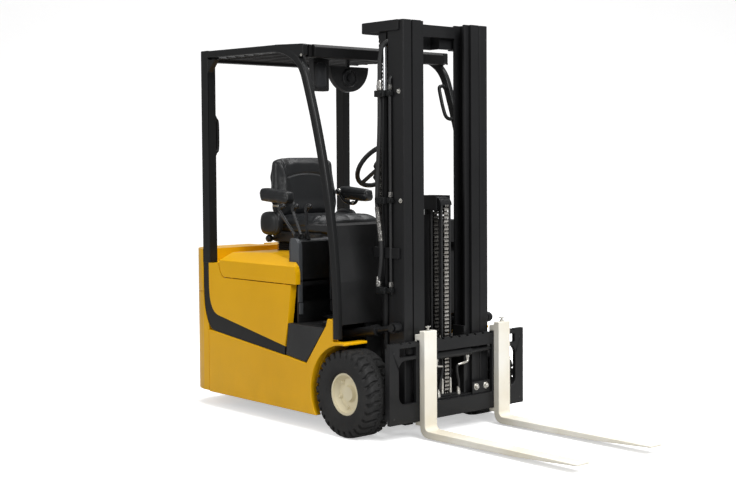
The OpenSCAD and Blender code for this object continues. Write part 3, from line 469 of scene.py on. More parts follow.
def smoothRoute(points, count):
    # cubic stretches through the points, each slope taken from the points on either side
    pts = np.asarray(points, float)
    ends = np.concatenate([[2 * pts[0] - pts[1]], pts, [2 * pts[-1] - pts[-2]]])
    t = np.linspace(0, len(pts) - 1, count)
    i = np.minimum(t.astype(int), len(pts) - 2)
    u = (t - i)[:, None]
    a, b, c, d = ends[i], ends[i + 1], ends[i + 2], ends[i + 3]
    return 0.5 * (2 * b + (c - a) * u + (2 * a - 5 * b + 4 * c - d) * u**2 + (3 * b - a - 3 * c + d) * u**3)


def unit(v):
    return v / np.linalg.norm(v, axis=-1, keepdims=True)


def smoothStep(low, high, value):
    t = np.clip((value - low) / (high - low), 0, 1)
    return t * t * (3 - 2 * t)


def tubeShape(route, radius, sides=14):
    # circles of the radius, one for the whole tube or one for each point, square to the route
    route = np.asarray(route, float)
    along = unit(np.gradient(route, axis=0))
    reference = np.eye(3)[np.argmin(np.abs(along).max(axis=0))]
    first = unit(np.cross(along, reference))
    second = np.cross(along, first)
    turn = np.linspace(0, 2 * math.pi, sides, endpoint=False)
    r = np.broadcast_to(np.asarray(radius, float), (len(route),))[:, None, None]
    rings = np.cos(turn)[None, :, None] * first[:, None] + np.sin(turn)[None, :, None] * second[:, None]
    return closedGrid(route[:, None] + r * rings)


def turnedShape(profile, place, axis, sides=32):
    # a profile of radius and height turned about the axis through place
    axis = unit(np.asarray(axis, float))
    first = unit(np.cross(axis, np.eye(3)[np.argmin(np.abs(axis))]))
    second = np.cross(axis, first)
    turn = np.linspace(0, 2 * math.pi, sides, endpoint=False)
    rim = np.cos(turn)[:, None] * first + np.sin(turn)[:, None] * second
    radius, height = np.asarray(profile, float).T
    points = np.asarray(place) + radius[:, None, None] * rim[None] + height[:, None, None] * axis
    return closedGrid(points)


def boxShape(low, high):
    low, high = np.asarray(low, float), np.asarray(high, float)
    square = np.array([[0, 0], [1, 0], [1, 1], [0, 1]])
    points = np.array([[[u, v, w] for u, v in square] for w in (0, 1)], float)
    return closedGrid(low + points * (high - low))


def plateShape(outline, thickness, place, right, up):
    # a flat outline given a thickness, its middle at place, drawn along right and up
    outline = np.asarray(outline, float)
    right, up = unit(np.asarray(right, float)), unit(np.asarray(up, float))
    flat = np.asarray(place) + outline[:, :1] * right + outline[:, 1:] * up
    half = np.cross(right, up) * thickness / 2
    return closedGrid(np.stack([flat - half, flat + half]))


def boltShape(axis, across):
    # a washer with a six-sided head on it, its corners broken
    r = across / math.sqrt(3)
    washer = turnedShape([(across * 0.86, 0), (across * 0.9, across * 0.05), (across * 0.84, across * 0.12)],
                         origin, axis, 20)
    head = turnedShape([(r, across * 0.11), (r, across * 0.52), (r * 0.84, across * 0.62)], origin, axis, 6)
    return mergeShapes(washer, head)


def boltField(places, axis, across):
    return repeatShape(boltShape(axis, across), places)


def bothSides(shape):
    return mergeShapes(shape, mirrorShape(shape))


def bentTube(points, count, radius, sides=14):
    # a tube on a smooth route through places in millimetres from the axle
    return tubeShape(smoothRoute(path(points), count), radius, sides)


def meshObject(name, points, faces, sharp=35):
    mesh = bpy.data.meshes.new(name)
    mesh.from_pydata(points.reshape(-1, 3).tolist(), [], [row for group in faces for row in group.tolist()])
    work = bmesh.new()
    work.from_mesh(mesh)
    bmesh.ops.recalc_face_normals(work, faces=work.faces)
    work.to_mesh(mesh)
    work.free()
    mesh.polygons.foreach_set("use_smooth", np.ones(len(mesh.polygons), bool))
    mesh.set_sharp_from_angle(angle=math.radians(sharp))
    mesh.update()
    made = bpy.data.objects.new(name, mesh)
    scene.collection.objects.link(made)
    return made


def addPiece(name, shape, finish, body, hides=(), rounded=0.0):
    made = meshObject(name, *shape)
    made.data.materials.append(finishes[finish])
    if rounded:
        roundEdges(made, rounded)
    if isinstance(body, str):
        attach(made, body)
    else:
        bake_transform(made)
    if hides:
        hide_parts(*hides)
    return made


# tyres: block tread cut into the solid's outline
frontTyre = {"nodes": ("tyre_right", "tyre_left"), "lugs": 28, "columns": 16, "rows": 41, "depth": 0.0115,
             "rib": 0.019, "rim": 0.11}
rearTyre = {"node": "rear_tyres", "lugs": 30, "columns": 10, "rows": 27, "depth": 0.006, "rib": 0.014,
            "rim": 0.102, "width": 0.112}


def tyreShape(look, centre, radius, halfWidth):
    # half a section from the bead to the middle of the tread, as parts of the radius and the half width
    h, rim, rib = halfWidth, look["rim"], look["rib"]
    half = np.array([(rim, 0.76 * h), (rim + 0.007, 0.9 * h), (rim + 0.03, 0.985 * h), (radius * 0.74, h),
                     (radius * 0.86, 0.985 * h), (radius - 0.016, 0.94 * h), (radius - 0.006, 0.86 * h),
                     (radius - 0.0008, 0.72 * h), (radius, 0.4 * h), (radius, 0.0)])
    side = smoothRoute(np.column_stack([half, np.zeros(len(half))]), look["rows"])[:, :2]
    section = np.concatenate([side, (side * [1, -1])[-2::-1]])
    middle = len(section) // 2
    along = unit(np.gradient(section, axis=0))
    outward = np.stack([-along[:, 1], along[:, 0]], axis=1)
    outward *= np.sign(outward[middle, 0])
    run = np.concatenate([[0], np.cumsum(np.linalg.norm(np.diff(section, axis=0), axis=1))])
    s = run - run[middle]
    count = look["lugs"] * look["columns"]
    turn = np.linspace(0, 2 * math.pi, count, endpoint=False)
    reach = np.abs(s)[:, None]
    pitch = 2 * math.pi * radius / look["lugs"]
    shoulder = h * 0.86
    # cross grooves slant away from the rib, and the two sides stand half a block apart
    phase = (look["lugs"] * turn[None] / (2 * math.pi) + 0.5 * (s > 0)[:, None]
             + 0.55 * (reach / h) + 0.05 * np.sin(reach / 0.012))
    across = np.abs(phase % 1 - 0.5) * pitch
    width = pitch * (0.10 + 0.09 * smoothStep(rib, shoulder, reach))
    cross = 1 - smoothStep(width - 0.0022, width + 0.0012, across)
    cross = cross * smoothStep(rib - 0.001, rib + 0.003, reach)
    cross = cross * (1 - smoothStep(shoulder + 0.030, shoulder + 0.038, reach))
    # a zigzag groove on each side of the rib
    zig = rib + 0.006 * (np.abs(phase % 1 - 0.5) * 4 - 1)
    ring = 1 - smoothStep(0.0022, 0.004, np.abs(reach - zig))
    cut = look["depth"] * np.maximum(cross, 0.75 * ring)
    # moulded rings on the sidewall
    r, y = section[:, :1], section[:, 1:]
    beads = sum(0.0016 * np.exp(-((r - (rim + (radius - rim) * k)) / 0.0022)**2) for k in (0.22, 0.30, 0.62))
    offset = np.where(reach > shoulder + 0.02, beads, 0) - cut
    r = r + offset * outward[:, :1]
    y = y + offset * outward[:, 1:]
    points = np.stack([r * np.cos(turn), y, r * np.sin(turn)], axis=-1) + np.asarray(centre)
    return gridShape(points, wrapRows=True, wrapCols=True)


def makeTyres():
    for node in frontTyre["nodes"]:
        side = node[5:]
        low, high = boxOf(node)
        shape = tyreShape(frontTyre, (low + high) / 2, (high[2] - low[2]) / 2, (high[1] - low[1]) / 2)
        addPiece("blockTread_" + side, shape, "tyreRubber", "wheel_" + side, (node,))
    low, high = boxOf(rearTyre["node"])
    half = rearTyre["width"] / 2
    out = (high[1] - low[1]) / 2 - half
    pair = [tyreShape(rearTyre, (low + high) / 2 + [0, side * out, 0], (high[2] - low[2]) / 2, half)
            for side in (-1, 1)]
    addPiece("twinTread", mergeShapes(*pair), "tyreRubber", "rear_wheels", (rearTyre["node"],))


# wheel nuts with their collars on the dished discs
nutLook = {"ring": 0.079, "count": 6, "across": 0.017, "start": 0.3, "face": 482,
           "collar": [(0.0155, 0), (0.0155, 0.003), (0.0135, 0.0045)]}


def makeNuts():
    spin = np.linspace(0, 2 * math.pi, nutLook["count"], endpoint=False) + nutLook["start"]
    ring = np.stack([np.cos(spin), 0 * spin, np.sin(spin)], axis=1) * nutLook["ring"]
    for side, name in ((-1, "right"), (1, "left")):
        low, high = boxOf("rim_" + name)
        places = ring + [(low[0] + high[0]) / 2, side * nutLook["face"] / 1000, (low[2] + high[2]) / 2]
        collars = repeatShape(turnedShape(nutLook["collar"], origin, (0, side, 0), 24), places)
        nuts = boltField(places, (0, side, 0), nutLook["across"])
        addPiece("wheelNuts_" + name, mergeShapes(nuts, collars), "creamPaint", "wheel_" + name)


makeTyres()
makeNuts()
print("tyres and wheel nuts made")

# leaf chains: waisted plates on pins, every second row one link along
chainLook = {"pitch": 0.0205, "rows": 4, "height": 0.0165, "waist": 0.5, "pin": 0.0042, "narrow": 0.016,
             "broad": 0.030, "hoseOut": 0.030, "hose": 0.0068,
             "ferrule": [(0.0095, 0), (0.0095, 0.02), (0.008, 0.022), (0.0088, 0.024), (0.0088, 0.075),
                         (0.0072, 0.08)]}


def chainShape(x, y, low, high, width):
    count = int((high - low) / chainLook["pitch"])
    pitch = (high - low) / count
    rows, height = chainLook["rows"], chainLook["height"]
    turn = np.linspace(0, 2 * math.pi, 24, endpoint=False)
    # the plate's edge: two round ends drawn in at the waist
    along = np.cos(turn) * (pitch / 2 + height / 2)
    waist = 1 - chainLook["waist"] * np.exp(-(along / (pitch * 0.24))**2)
    side = np.sign(np.sin(turn)) * np.abs(np.sin(turn))**0.5 * height / 2 * waist
    plate = plateShape(np.stack([side, along], axis=1), width / rows * 0.84, origin, forward, upward)
    across = (np.arange(rows) - (rows - 1) / 2) * width / rows
    # every other row starts one pitch later, so that all the rows meet at each pin
    z = low + (np.arange(0, count, 2)[None] + 0.5 + (np.arange(rows) % 2)[:, None]) * pitch
    places = np.stack([np.full_like(z, x), across[:, None] + y + 0 * z, z], axis=-1).reshape(-1, 3)
    places = places[places[:, 2] < high - pitch * 0.4]
    pinZ = low + np.arange(count) * pitch
    ends = width / 2 + 0.0012
    pin = turnedShape([(chainLook["pin"], -ends), (chainLook["pin"], ends)], origin, leftward, 10)
    pins = repeatShape(pin, np.stack([np.full_like(pinZ, x), np.full_like(pinZ, y), pinZ], axis=1))
    # each point carries how near it is to its plate's waist, and the pins count as waist: the chain's finish paints
    # shade there
    near = np.tile(np.exp(-(plate[0][:, 2] / (pitch * 0.2))**2), len(places))
    return mergeShapes(repeatShape(plate, places), pins), np.concatenate([near, np.ones(len(pins[0]))])


def makeChains():
    narrow, out = chainLook["narrow"], chainLook["hoseOut"]
    # the rear runs wear the darker oiled steel, partly oil and partly painted shade; the head chain's front run, the
    # same chain, stays bright
    for node, bodies, paired, finish in (
            ("chain_rear_runs", ("mast_outer", "mast_middle"), True, "oiledChain"),
            ("chain_front_runs", ("mast_inner", "mast_middle"), True, "oiledChain"),
            ("head_rear_runs", ("mast_inner", "lift_head"), False, "oiledChain"),
            ("head_front_runs", ("carriage", "lift_head"), False, "chainSteel")):
        low, high = boxOf(node)
        x, foot, top = (low[0] + high[0]) / 2, low[2], high[2]
        if paired:
            runs = [chainShape(x, y, foot, top, narrow) for y in (low[1] + narrow / 2, high[1] - narrow / 2)]
        else:
            runs = [chainShape(x, 0.0, foot, top, chainLook["broad"])]
        span = (*bodies, (x, 0, foot), (x, 0, top))
        chain = addPiece("leafChain_" + node, mergeShapes(*(shape for shape, near in runs)), finish, span, (node,))
        # the waist attribute carries where the chain's finish paints shade
        waist = chain.data.attributes.new("waist", "FLOAT", "POINT")
        waist.data.foreach_set("value", np.concatenate([near for shape, near in runs]))
        if not paired:
            # the two hoses beside the middle chain, with a ferrule at the foot of each
            hoses = [tubeShape(np.linspace((x, s * out, foot + 0.03), (x, s * out, top), 24), chainLook["hose"], 12)
                     for s in (-1, 1)]
            addPiece("headHoses_" + node, mergeShapes(*hoses), "hoseRubber", span)
            ferrule = turnedShape(chainLook["ferrule"], origin, upward, 18)
            feet = repeatShape(ferrule, [(x, s * out, foot) for s in (-1, 1)])
            addPiece("hoseFeet_" + node, feet, "zincPlate", bodies[0])


makeChains()
print("chains made")

# hoses clamped along the right rail
railHose = {"radius": 0.0112, "pipe": 0.008, "braid": (1.01, 1.2), "braidRings": 160, "swell": 0.0024, "ripple": 0.0009,
            "route": [(110, -300, 2052), (102, -312, 2046), (90, -326, 2020), (80, -333, 1960), (78, -334, 1880),
                      (77, -334, 1782), (74, -334, 1604), (60, -334, 1386), (52, -334, 1229), (60, -335, 1160),
                      (78, -335, 1050), (84, -334, 960), (76, -333, 880), (63, -333, 810), (60, -333, 765)],
            "pipeRoute": [(140, -308, 1868), (140, -314, 1860), (140, -319, 1846), (140, -319, 1782),
                          (140, -319, 1500), (140, -319, 1229), (140, -319, 1000), (140, -319, 800),
                          (140, -318, 762), (140, -312, 748), (140, -306, 744)],
            "clamps": (745, 1212, 1765), "clampBolt": 0.013, "railBolt": 0.014,
            "railBolts": [(206, -309, 1229), (196, -309, 1790)],
            "nut": [(0.0125, 0), (0.0158, 0.003), (0.0158, 0.026), (0.0135, 0.031), (0.0135, 0.05), (0.012, 0.053)],
            "nuts": [(60, -333, 779), (77, -334, 1799)],
            "pipeNut": [(0.009, 0), (0.012, 0.003), (0.012, 0.024), (0.0095, 0.028)],
            "pipeNuts": [(140, -319, 1799), (140, -319, 1246), (140, -319, 779)]}


def makeRailHoses():
    look = railHose
    main = smoothRoute(path(look["route"]), 150)
    pipe = bentTube(look["pipeRoute"], 120, look["pipe"])
    addPiece("railHoses", mergeShapes(tubeShape(main, look["radius"], 16), pipe), "hoseRubber", "mast_outer",
             ("mast_hoses",))
    # braid over the middle of the hose: a tube whose radius swells in short rings
    z, (low, high) = main[:, 2], look["braid"]
    sleeve = smoothStep(low, low + 0.01, z) * (1 - smoothStep(high - 0.01, high, z))
    stretch = main[sleeve > 0.5]
    ends = np.linspace(0, len(stretch) - 1, look["braidRings"])
    fine = np.stack([np.interp(ends, np.arange(len(stretch)), stretch[:, k]) for k in range(3)], axis=1)
    swell = look["radius"] + look["swell"] + look["ripple"] * np.cos(np.arange(look["braidRings"]) * 1.3)
    addPiece("hoseBraid", tubeShape(fine, swell, 18), "braidSteel", "mast_outer")
    clamps = look["clamps"]
    blocks = [boxShape(at(46, -347, low), at(118, -309, low + 34)) for low in clamps]
    blocks += [boxShape(at(116, -331, low + 4), at(156, -309, low + 30)) for low in clamps]
    addPiece("hoseClamps", mergeShapes(*blocks), "blackPaint", "mast_outer", rounded=0.004)
    heads = path([(x, y, low + 17) for x, y in ((100, -347), (150, -331)) for low in clamps])
    addPiece("clampBolts", boltField(heads, rightward, look["clampBolt"]), "blackPaint", "mast_outer")
    bolts = boltField(path(look["railBolts"]), rightward, look["railBolt"])
    addPiece("railBolts", bolts, "zincPlate", "mast_outer")
    nuts = [repeatShape(turnedShape(look[nut], origin, upward, sides), path(look[nut + "s"]))
            for nut, sides in (("nut", 18), ("pipeNut", 6))]
    addPiece("hoseNuts", mergeShapes(*nuts), "braidSteel", "mast_outer")


makeRailHoses()
print("rail hoses made")

# driver's controls: three bent levers with fat hooked grips
leverLook = {"stem": 0.0088, "grip": 0.0128, "leans": (-148, -74, -6), "foot": (-456, -470, 1006), "apart": (8, 30, 0),
             "points": 72, "folds": 22}


def makeLevers():
    levers, boots = [], []
    stem, grip = leverLook["stem"], leverLook["grip"]
    for i, lean in enumerate(leverLook["leans"]):
        foot = np.array(leverLook["foot"]) + i * np.array(leverLook["apart"])
        steps = [(0, 0), (lean * 0.12, 30), (lean * 0.5, 84), (lean * 0.86, 134), (lean, 160), (lean + 8, 178),
                 (lean + 24, 186), (lean + 44, 180)]
        t = np.linspace(0, 1, leverLook["points"])
        radius = stem + (grip - stem) * smoothStep(0.5, 0.62, t)
        # the grip's end is round: the radius follows a quarter circle
        radius = radius * np.sqrt(np.clip(1 - (np.maximum(t - 0.93, 0) / 0.072)**2, 0.04, 1))
        levers.append(bentTube([foot + [dx, 0, dz] for dx, dz in steps], leverLook["points"], radius, 18))
        rings = np.linspace(0, 1, leverLook["folds"])
        folds = np.stack([0.019 - 0.007 * rings + 0.002 * np.cos(rings * 10 * math.pi), 0.028 * rings], axis=1)
        boots.append(turnedShape(folds, at(foot[0], foot[1], foot[2] + 5), upward, 24))
    addPiece("bentLevers", mergeShapes(*levers), "glossPlastic", "hood", ("control_levers",))
    addPiece("leverBoots", mergeShapes(*boots), "hoseRubber", "hood")


makeLevers()

# bent grab bars: a loop on the left pillar and a slim grip on the right rear leg
grabLook = {"radius": 0.0105, "flange": [(0.018, 0), (0.018, 0.005), (0.012, 0.009)],
            "pillar": [(-288, 506, 1861), (-288, 470, 1864), (-282, 449, 1850), (-264, 444, 1794), (-247, 444, 1738),
                       (-230, 447, 1692), (-224, 468, 1674), (-224, 506, 1673)],
            "leg": [(-1209, -486, 1690), (-1209, -472, 1682), (-1209, -464, 1662), (-1209, -462, 1590),
                    (-1209, -464, 1514), (-1209, -472, 1496), (-1209, -486, 1488)]}


def makeGrabBars():
    shapes = [bentTube(grabLook[k], 60, grabLook["radius"], 16) for k in ("pillar", "leg")]
    for k, y, axis in (("pillar", 504, rightward), ("leg", -484, leftward)):
        for x, _, z in (grabLook[k][0], grabLook[k][-1]):
            shapes.append(turnedShape(grabLook["flange"], at(x, y, z), axis, 20))
    addPiece("grabBars", mergeShapes(*shapes), "blackPaint", "chassis", ("grab_handles",))


makeGrabBars()
print("levers and grab bars made")

# seat: padded pieces swollen by cloth pressure, then sewn
seatLook = {"seat_cushion": {"voxel": 0.006, "shrink": 0.004, "cap": 0.014, "pressure": 4.0, "fill": 0.9},
            "seat_back": {"voxel": 0.006, "shrink": 0.0, "cap": 0.012, "pressure": 4.0, "fill": 0.9},
            "armrests": {"voxel": 0.005, "shrink": 0.002, "cap": 0.008, "pressure": 4.0, "fill": 0.95}}
clothLook = {"quality": 4, "frames": 20, "evened": 3, "relaxed": 26}


def readPoints(mesh, key):
    flat = np.empty(len(mesh.vertices) * 3)
    mesh.vertices.foreach_get(key, flat)
    return flat.reshape(-1, 3)


def movePoints(mesh, points):
    mesh.vertices.foreach_set("co", points.ravel())
    mesh.update()


def bakedMesh(made):
    graph = bpy.context.evaluated_depsgraph_get()
    return bpy.data.meshes.new_from_object(made.evaluated_get(graph), depsgraph=graph)


def smoothOut(made, name, times):
    smooth = made.modifiers.new(name, "SMOOTH")
    smooth.factor = 0.5
    smooth.iterations = times


def backShape():
    # rings from the foot to the top: each a squared-off oval between the front and the rear line,
    # its front sunk in the middle so that a bolster stands at each side
    low, high = boxOf("seat_back")
    rear = -0.994 + axleX
    v = np.linspace(0, 1, 44)
    z = low[2] - 0.012 + v * (high[2] + 0.022 - low[2])
    h = (z - low[2]) * 1000
    front = rear + np.interp(h, [0, 79, 200, 319, 359], [66, 76, 62, 43, 20]) / 1000
    back = rear + np.interp(h, [0, 39, 239, 349, 370], [4, -30, -52, -34, -18]) / 1000
    wide = np.interp(h, [0, 60, 150, 190, 330, 370], [0.226, 0.236, 0.238, 0.234, 0.222, 0.200])[:, None]
    top = np.sqrt(np.clip(1 - np.maximum(0, (v - 0.90) / 0.102)**2, 0.02, 1))
    closing = top * np.sqrt(np.clip(1 - np.maximum(0, (0.05 - v) / 0.052)**2, 0.05, 1))
    turn = np.linspace(0, 2 * math.pi, 96, endpoint=False)
    cosine, sine = np.cos(turn), np.sin(turn)
    y = wide * (0.25 + 0.75 * closing[:, None]) * np.sign(cosine) * np.abs(cosine)**0.42
    middle, half = (front + back) / 2, (front - back) / 2 * closing
    x = middle[:, None] + half[:, None] * np.sign(sine) * np.abs(sine)**0.55
    hollow = 0.022 * (1 - smoothStep(0.5, 0.86, np.abs(y) / wide)) * (closing * smoothStep(0.1, 0.3, v))[:, None]
    x = x - np.where(sine[None] > 0, hollow, 0)
    return closedGrid(np.stack([x, y, np.broadcast_to(z[:, None], x.shape)], axis=-1))


def pillowShape(low, high, square, axis=2, rows=32, cols=72):
    # a ball stretched to the box: powers below one push each ring and the rise towards the box's faces
    lift = np.linspace(-0.497, 0.497, rows) * math.pi
    turn = np.linspace(0, 2 * math.pi, cols, endpoint=False)
    ring = np.stack([np.sign(f) * np.abs(f)**square for f in (np.cos(turn), np.sin(turn))], axis=-1)
    out = np.cos(lift)**square
    rise = np.sign(np.sin(lift)) * np.abs(np.sin(lift))**square
    tall = np.broadcast_to(rise[:, None, None], (rows, cols, 1))
    ball = np.concatenate([out[:, None, None] * ring[None], tall], axis=2)
    order = {2: [0, 1, 2], 1: [0, 2, 1]}[axis]
    return closedGrid((low + high) / 2 + ball[:, :, order] * (high - low) / 2)


def puffed(name, node, shape=None):
    # remeshed, drawn in a little, then swollen by cloth pressure with a cap on each point's way
    look = seatLook[node]
    if shape:
        made = meshObject(name, *shape)
    else:
        made = bpy.data.objects.new(name, cadNodes[node].data.copy())
        scene.collection.objects.link(made)
    remesh = made.modifiers.new("evenFaces", "REMESH")
    remesh.mode = "VOXEL"
    remesh.voxel_size = look["voxel"]
    smoothOut(made, "evenedOut", clothLook["evened"])
    made.data = bakedMesh(made)
    made.modifiers.clear()
    start = readPoints(made.data, "co") - readPoints(made.data, "normal") * look["shrink"]
    movePoints(made.data, start)
    cloth = made.modifiers.new("swelling", "CLOTH")
    cloth.settings.use_pressure = True
    cloth.settings.uniform_pressure_force = look["pressure"]
    cloth.settings.quality = clothLook["quality"]
    cloth.settings.effector_weights.gravity = 0
    cloth.point_cache.frame_start = 1
    cloth.point_cache.frame_end = clothLook["frames"]
    for step in range(clothLook["frames"]):
        scene.frame_set(step + 1)
    blown = readPoints(bakedMesh(made), "co") - start
    made.modifiers.clear()
    scene.frame_set(1)
    far = np.linalg.norm(blown, axis=1, keepdims=True)
    movePoints(made.data, start + blown * np.minimum(1, look["cap"] / np.maximum(far, 1e-9)))
    smoothOut(made, "relaxed", clothLook["relaxed"])
    finer = made.modifiers.new("finer", "SUBSURF")
    finer.levels = finer.render_levels = 1
    made.data = bakedMesh(made)
    made.modifiers.clear()
    made.data.name = name
    return made


def sew(made, lines, depth, width):
    # points sink along their normals by depth where a line passes, over the given width
    mesh = made.data
    co, normal = readPoints(mesh, "co"), readPoints(mesh, "normal")
    sunk = np.zeros(len(co))
    for distance, mask in lines(co, normal):
        sunk = np.maximum(sunk, mask * depth * np.exp(-(distance / width)**2))
    mesh.polygons.foreach_set("use_smooth", np.ones(len(mesh.polygons), bool))
    movePoints(mesh, co - normal * sunk[:, None])


def backLines(co, normal):
    # one curved line below the head panel, one along each bolster and one round the sides
    low, high = boxOf("seat_back")
    up = (co[:, 2] - low[2]) / (high[2] - low[2])
    y = np.abs(co[:, 1])
    front = smoothStep(0.2, 0.45, normal[:, 0])
    bolster = 0.128 + 0.045 * smoothStep(0.3, 0.95, up)
    arch = np.abs(up - (0.665 + 0.06 * (1 - (y / 0.15)**2))) * (high[2] - low[2])
    return [(arch, front * (y < bolster)), (np.abs(y - bolster), front * (up > 0.04) * (up < 0.98)),
            (np.abs(co[:, 0] + 0.978 - axleX + 0.03 * up), 0.6 * smoothStep(0.4, 0.7, np.abs(normal[:, 1])))]


def cushionLines(co, normal):
    # a line along each side of the middle panel, one behind the front roll and one round the sides
    low, high = boxOf("seat_cushion")
    y = np.abs(co[:, 1])
    top = smoothStep(0.3, 0.55, normal[:, 2])
    front = high[0] - 0.085
    return [(np.abs(y - 0.165), top * (co[:, 0] < front)), (np.abs(co[:, 0] - front), top * (y < 0.24)),
            (np.abs(co[:, 2] - low[2] - 0.052), 0.7 * (np.abs(normal[:, 2]) < 0.5))]


def armLines(co, normal):
    # a moulding line halfway up each side, falling towards the front
    low, high = boxOf("armrests")
    side = np.abs(normal[:, 1]) > 0.55
    middle = low[2] + (high[2] - low[2]) * (0.58 - 0.12 * (co[:, 0] - low[0]) / (high[0] - low[0]))
    return [(np.abs(co[:, 2] - middle), 0.8 * side)]


def wingLines(co, normal):
    # a piped line round each hip bolster where its side meets its face
    return [(np.abs(np.abs(co[:, 1]) - 0.306), np.ones(len(co)))]


# armrests: pivots, height screws and struts
armLook = {"pivot": [(0.017, -0.03), (0.021, -0.026), (0.021, 0.0), (0.012, 0.004)], "pivotAt": (-969, -252, 1248),
           "screw": [(0.008, -0.05), (0.008, -0.012), (0.013, -0.01), (0.013, 0.006), (0.010, 0.01)],
           "screwAt": (-858, -282, 1180), "strut": 0.0095,
           "strutRoute": [(-969, -262, 1243), (-930, -268, 1196), (-880, -276, 1178), (-846, -282, 1180),
                          (-830, -286, 1196)]}


def makeSeat():
    cushion = pillowShape(at(-992, -250, 1012), at(-524, 250, 1118), 0.34)
    wing = pillowShape(at(-1026, -322, 1002), at(-838, -244, 1150), 0.66, axis=1)
    for name, node, lines, depth, width, shape in (
            ("paddedCushion", "seat_cushion", cushionLines, 0.006, 0.0065, cushion),
            ("paddedWings", "seat_cushion", wingLines, 0.003, 0.004, bothSides(wing)),
            ("paddedBack", "seat_back", backLines, 0.0065, 0.0062, backShape()),
            ("paddedArms", "armrests", armLines, 0.0025, 0.004, None)):
        made = puffed(name, node, shape)
        sew(made, lines, depth, width)
        made.data.materials.clear()
        made.data.materials.append(finishes["seatLeather"])
        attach(made, "hood")
        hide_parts(node)
    pivot = turnedShape(armLook["pivot"], at(*armLook["pivotAt"]), leftward, 24)
    screw = turnedShape(armLook["screw"], at(*armLook["screwAt"]), forward, 18)
    addPiece("armPivots", bothSides(mergeShapes(pivot, screw)), "zincPlate", "hood")
    addPiece("armStruts", bothSides(bentTube(armLook["strutRoute"], 40, armLook["strut"])), "blackPaint", "hood")


makeSeat()
print("seat padded")

# bellows and pan below the cushion
bellowsLook = {"folds": 5, "reach": 0.014, "rings": 61, "panLow": 0.046,
               "pan": ((0.012, -0.046), (0.0, -0.038), (0.0, 0.008), (0.008, 0.016)),
               "knob": [(0.006, 0.0), (0.006, 0.03), (0.016, 0.034), (0.021, 0.044), (0.021, 0.062), (0.014, 0.07)]}


def roundedOutline(half, corner, count=14):
    # a rectangle with round corners, its points in order round it
    turn = np.linspace(0, math.pi / 2, count)
    signs = np.array([(1, 1), (-1, 1), (-1, -1), (1, -1)])
    angle = turn[None] + np.arange(4)[:, None] * math.pi / 2
    centre = signs[:, None] * (np.asarray(half) - corner)
    return (centre + corner * np.stack([np.cos(angle), np.sin(angle)], axis=-1)).reshape(-1, 2)


def makeBellows():
    low, high = boxOf("seat_base")
    low, high = low - [0.03, 0.035, 0], high + [0.012, 0.035, 0]
    middle, half = (low + high) / 2, (high - low) / 2
    rise = np.linspace(0, 1, bellowsLook["rings"])
    wave = bellowsLook["reach"] * (np.abs((rise * bellowsLook["folds"]) % 1 - 0.5) * 2) ** 0.8
    inner = roundedOutline((half[0] - 0.022, half[1] - 0.02), 0.05)
    z = low[2] - 0.004 + rise * (high[2] - bellowsLook["panLow"] - low[2])
    rings = np.concatenate([inner[None] + wave[:, None, None] * unit(inner)[None],
                            np.broadcast_to(z[:, None, None], (len(z), len(inner), 1))], axis=2)
    pan = []
    for inset, height in bellowsLook["pan"]:
        ring = roundedOutline((half[0] - inset, half[1] - inset), 0.03)
        pan.append(np.column_stack([ring + middle[:2], np.full(len(ring), high[2] + height)]))
    knob = turnedShape(bellowsLook["knob"], (low[0] + 0.04, low[1] + 0.01, high[2] - 0.024), rightward, 20)
    addPiece("seatBellows", closedGrid(rings + [middle[0], middle[1], 0]), "hoseRubber", "hood", ("seat_base",))
    addPiece("seatPan", mergeShapes(closedGrid(np.array(pan)), knob), "blackPlastic", "hood")


makeBellows()
print("bellows made")

# console: black face between two moulded cheeks, carried on down the battery wall
consoleLook = {"proud": 0.004, "corner": 0.045, "skirtFoot": 0.672, "wallLow": 0.606, "wallTop": 0.668}


def cheekShape(low, high):
    # between two corners of its box, with a round upper front corner in the side view
    turn = np.linspace(0, math.pi / 2, 10)
    corner = consoleLook["corner"]
    bend = np.array([high[0], high[2]]) - corner + corner * np.stack([np.cos(turn), np.sin(turn)], axis=1)
    outline = np.concatenate([[(low[0], low[2]), (high[0], low[2])], bend, [(low[0], high[2])]])
    return plateShape(outline, high[1] - low[1], (0, (low[1] + high[1]) / 2, 0), forward, upward)


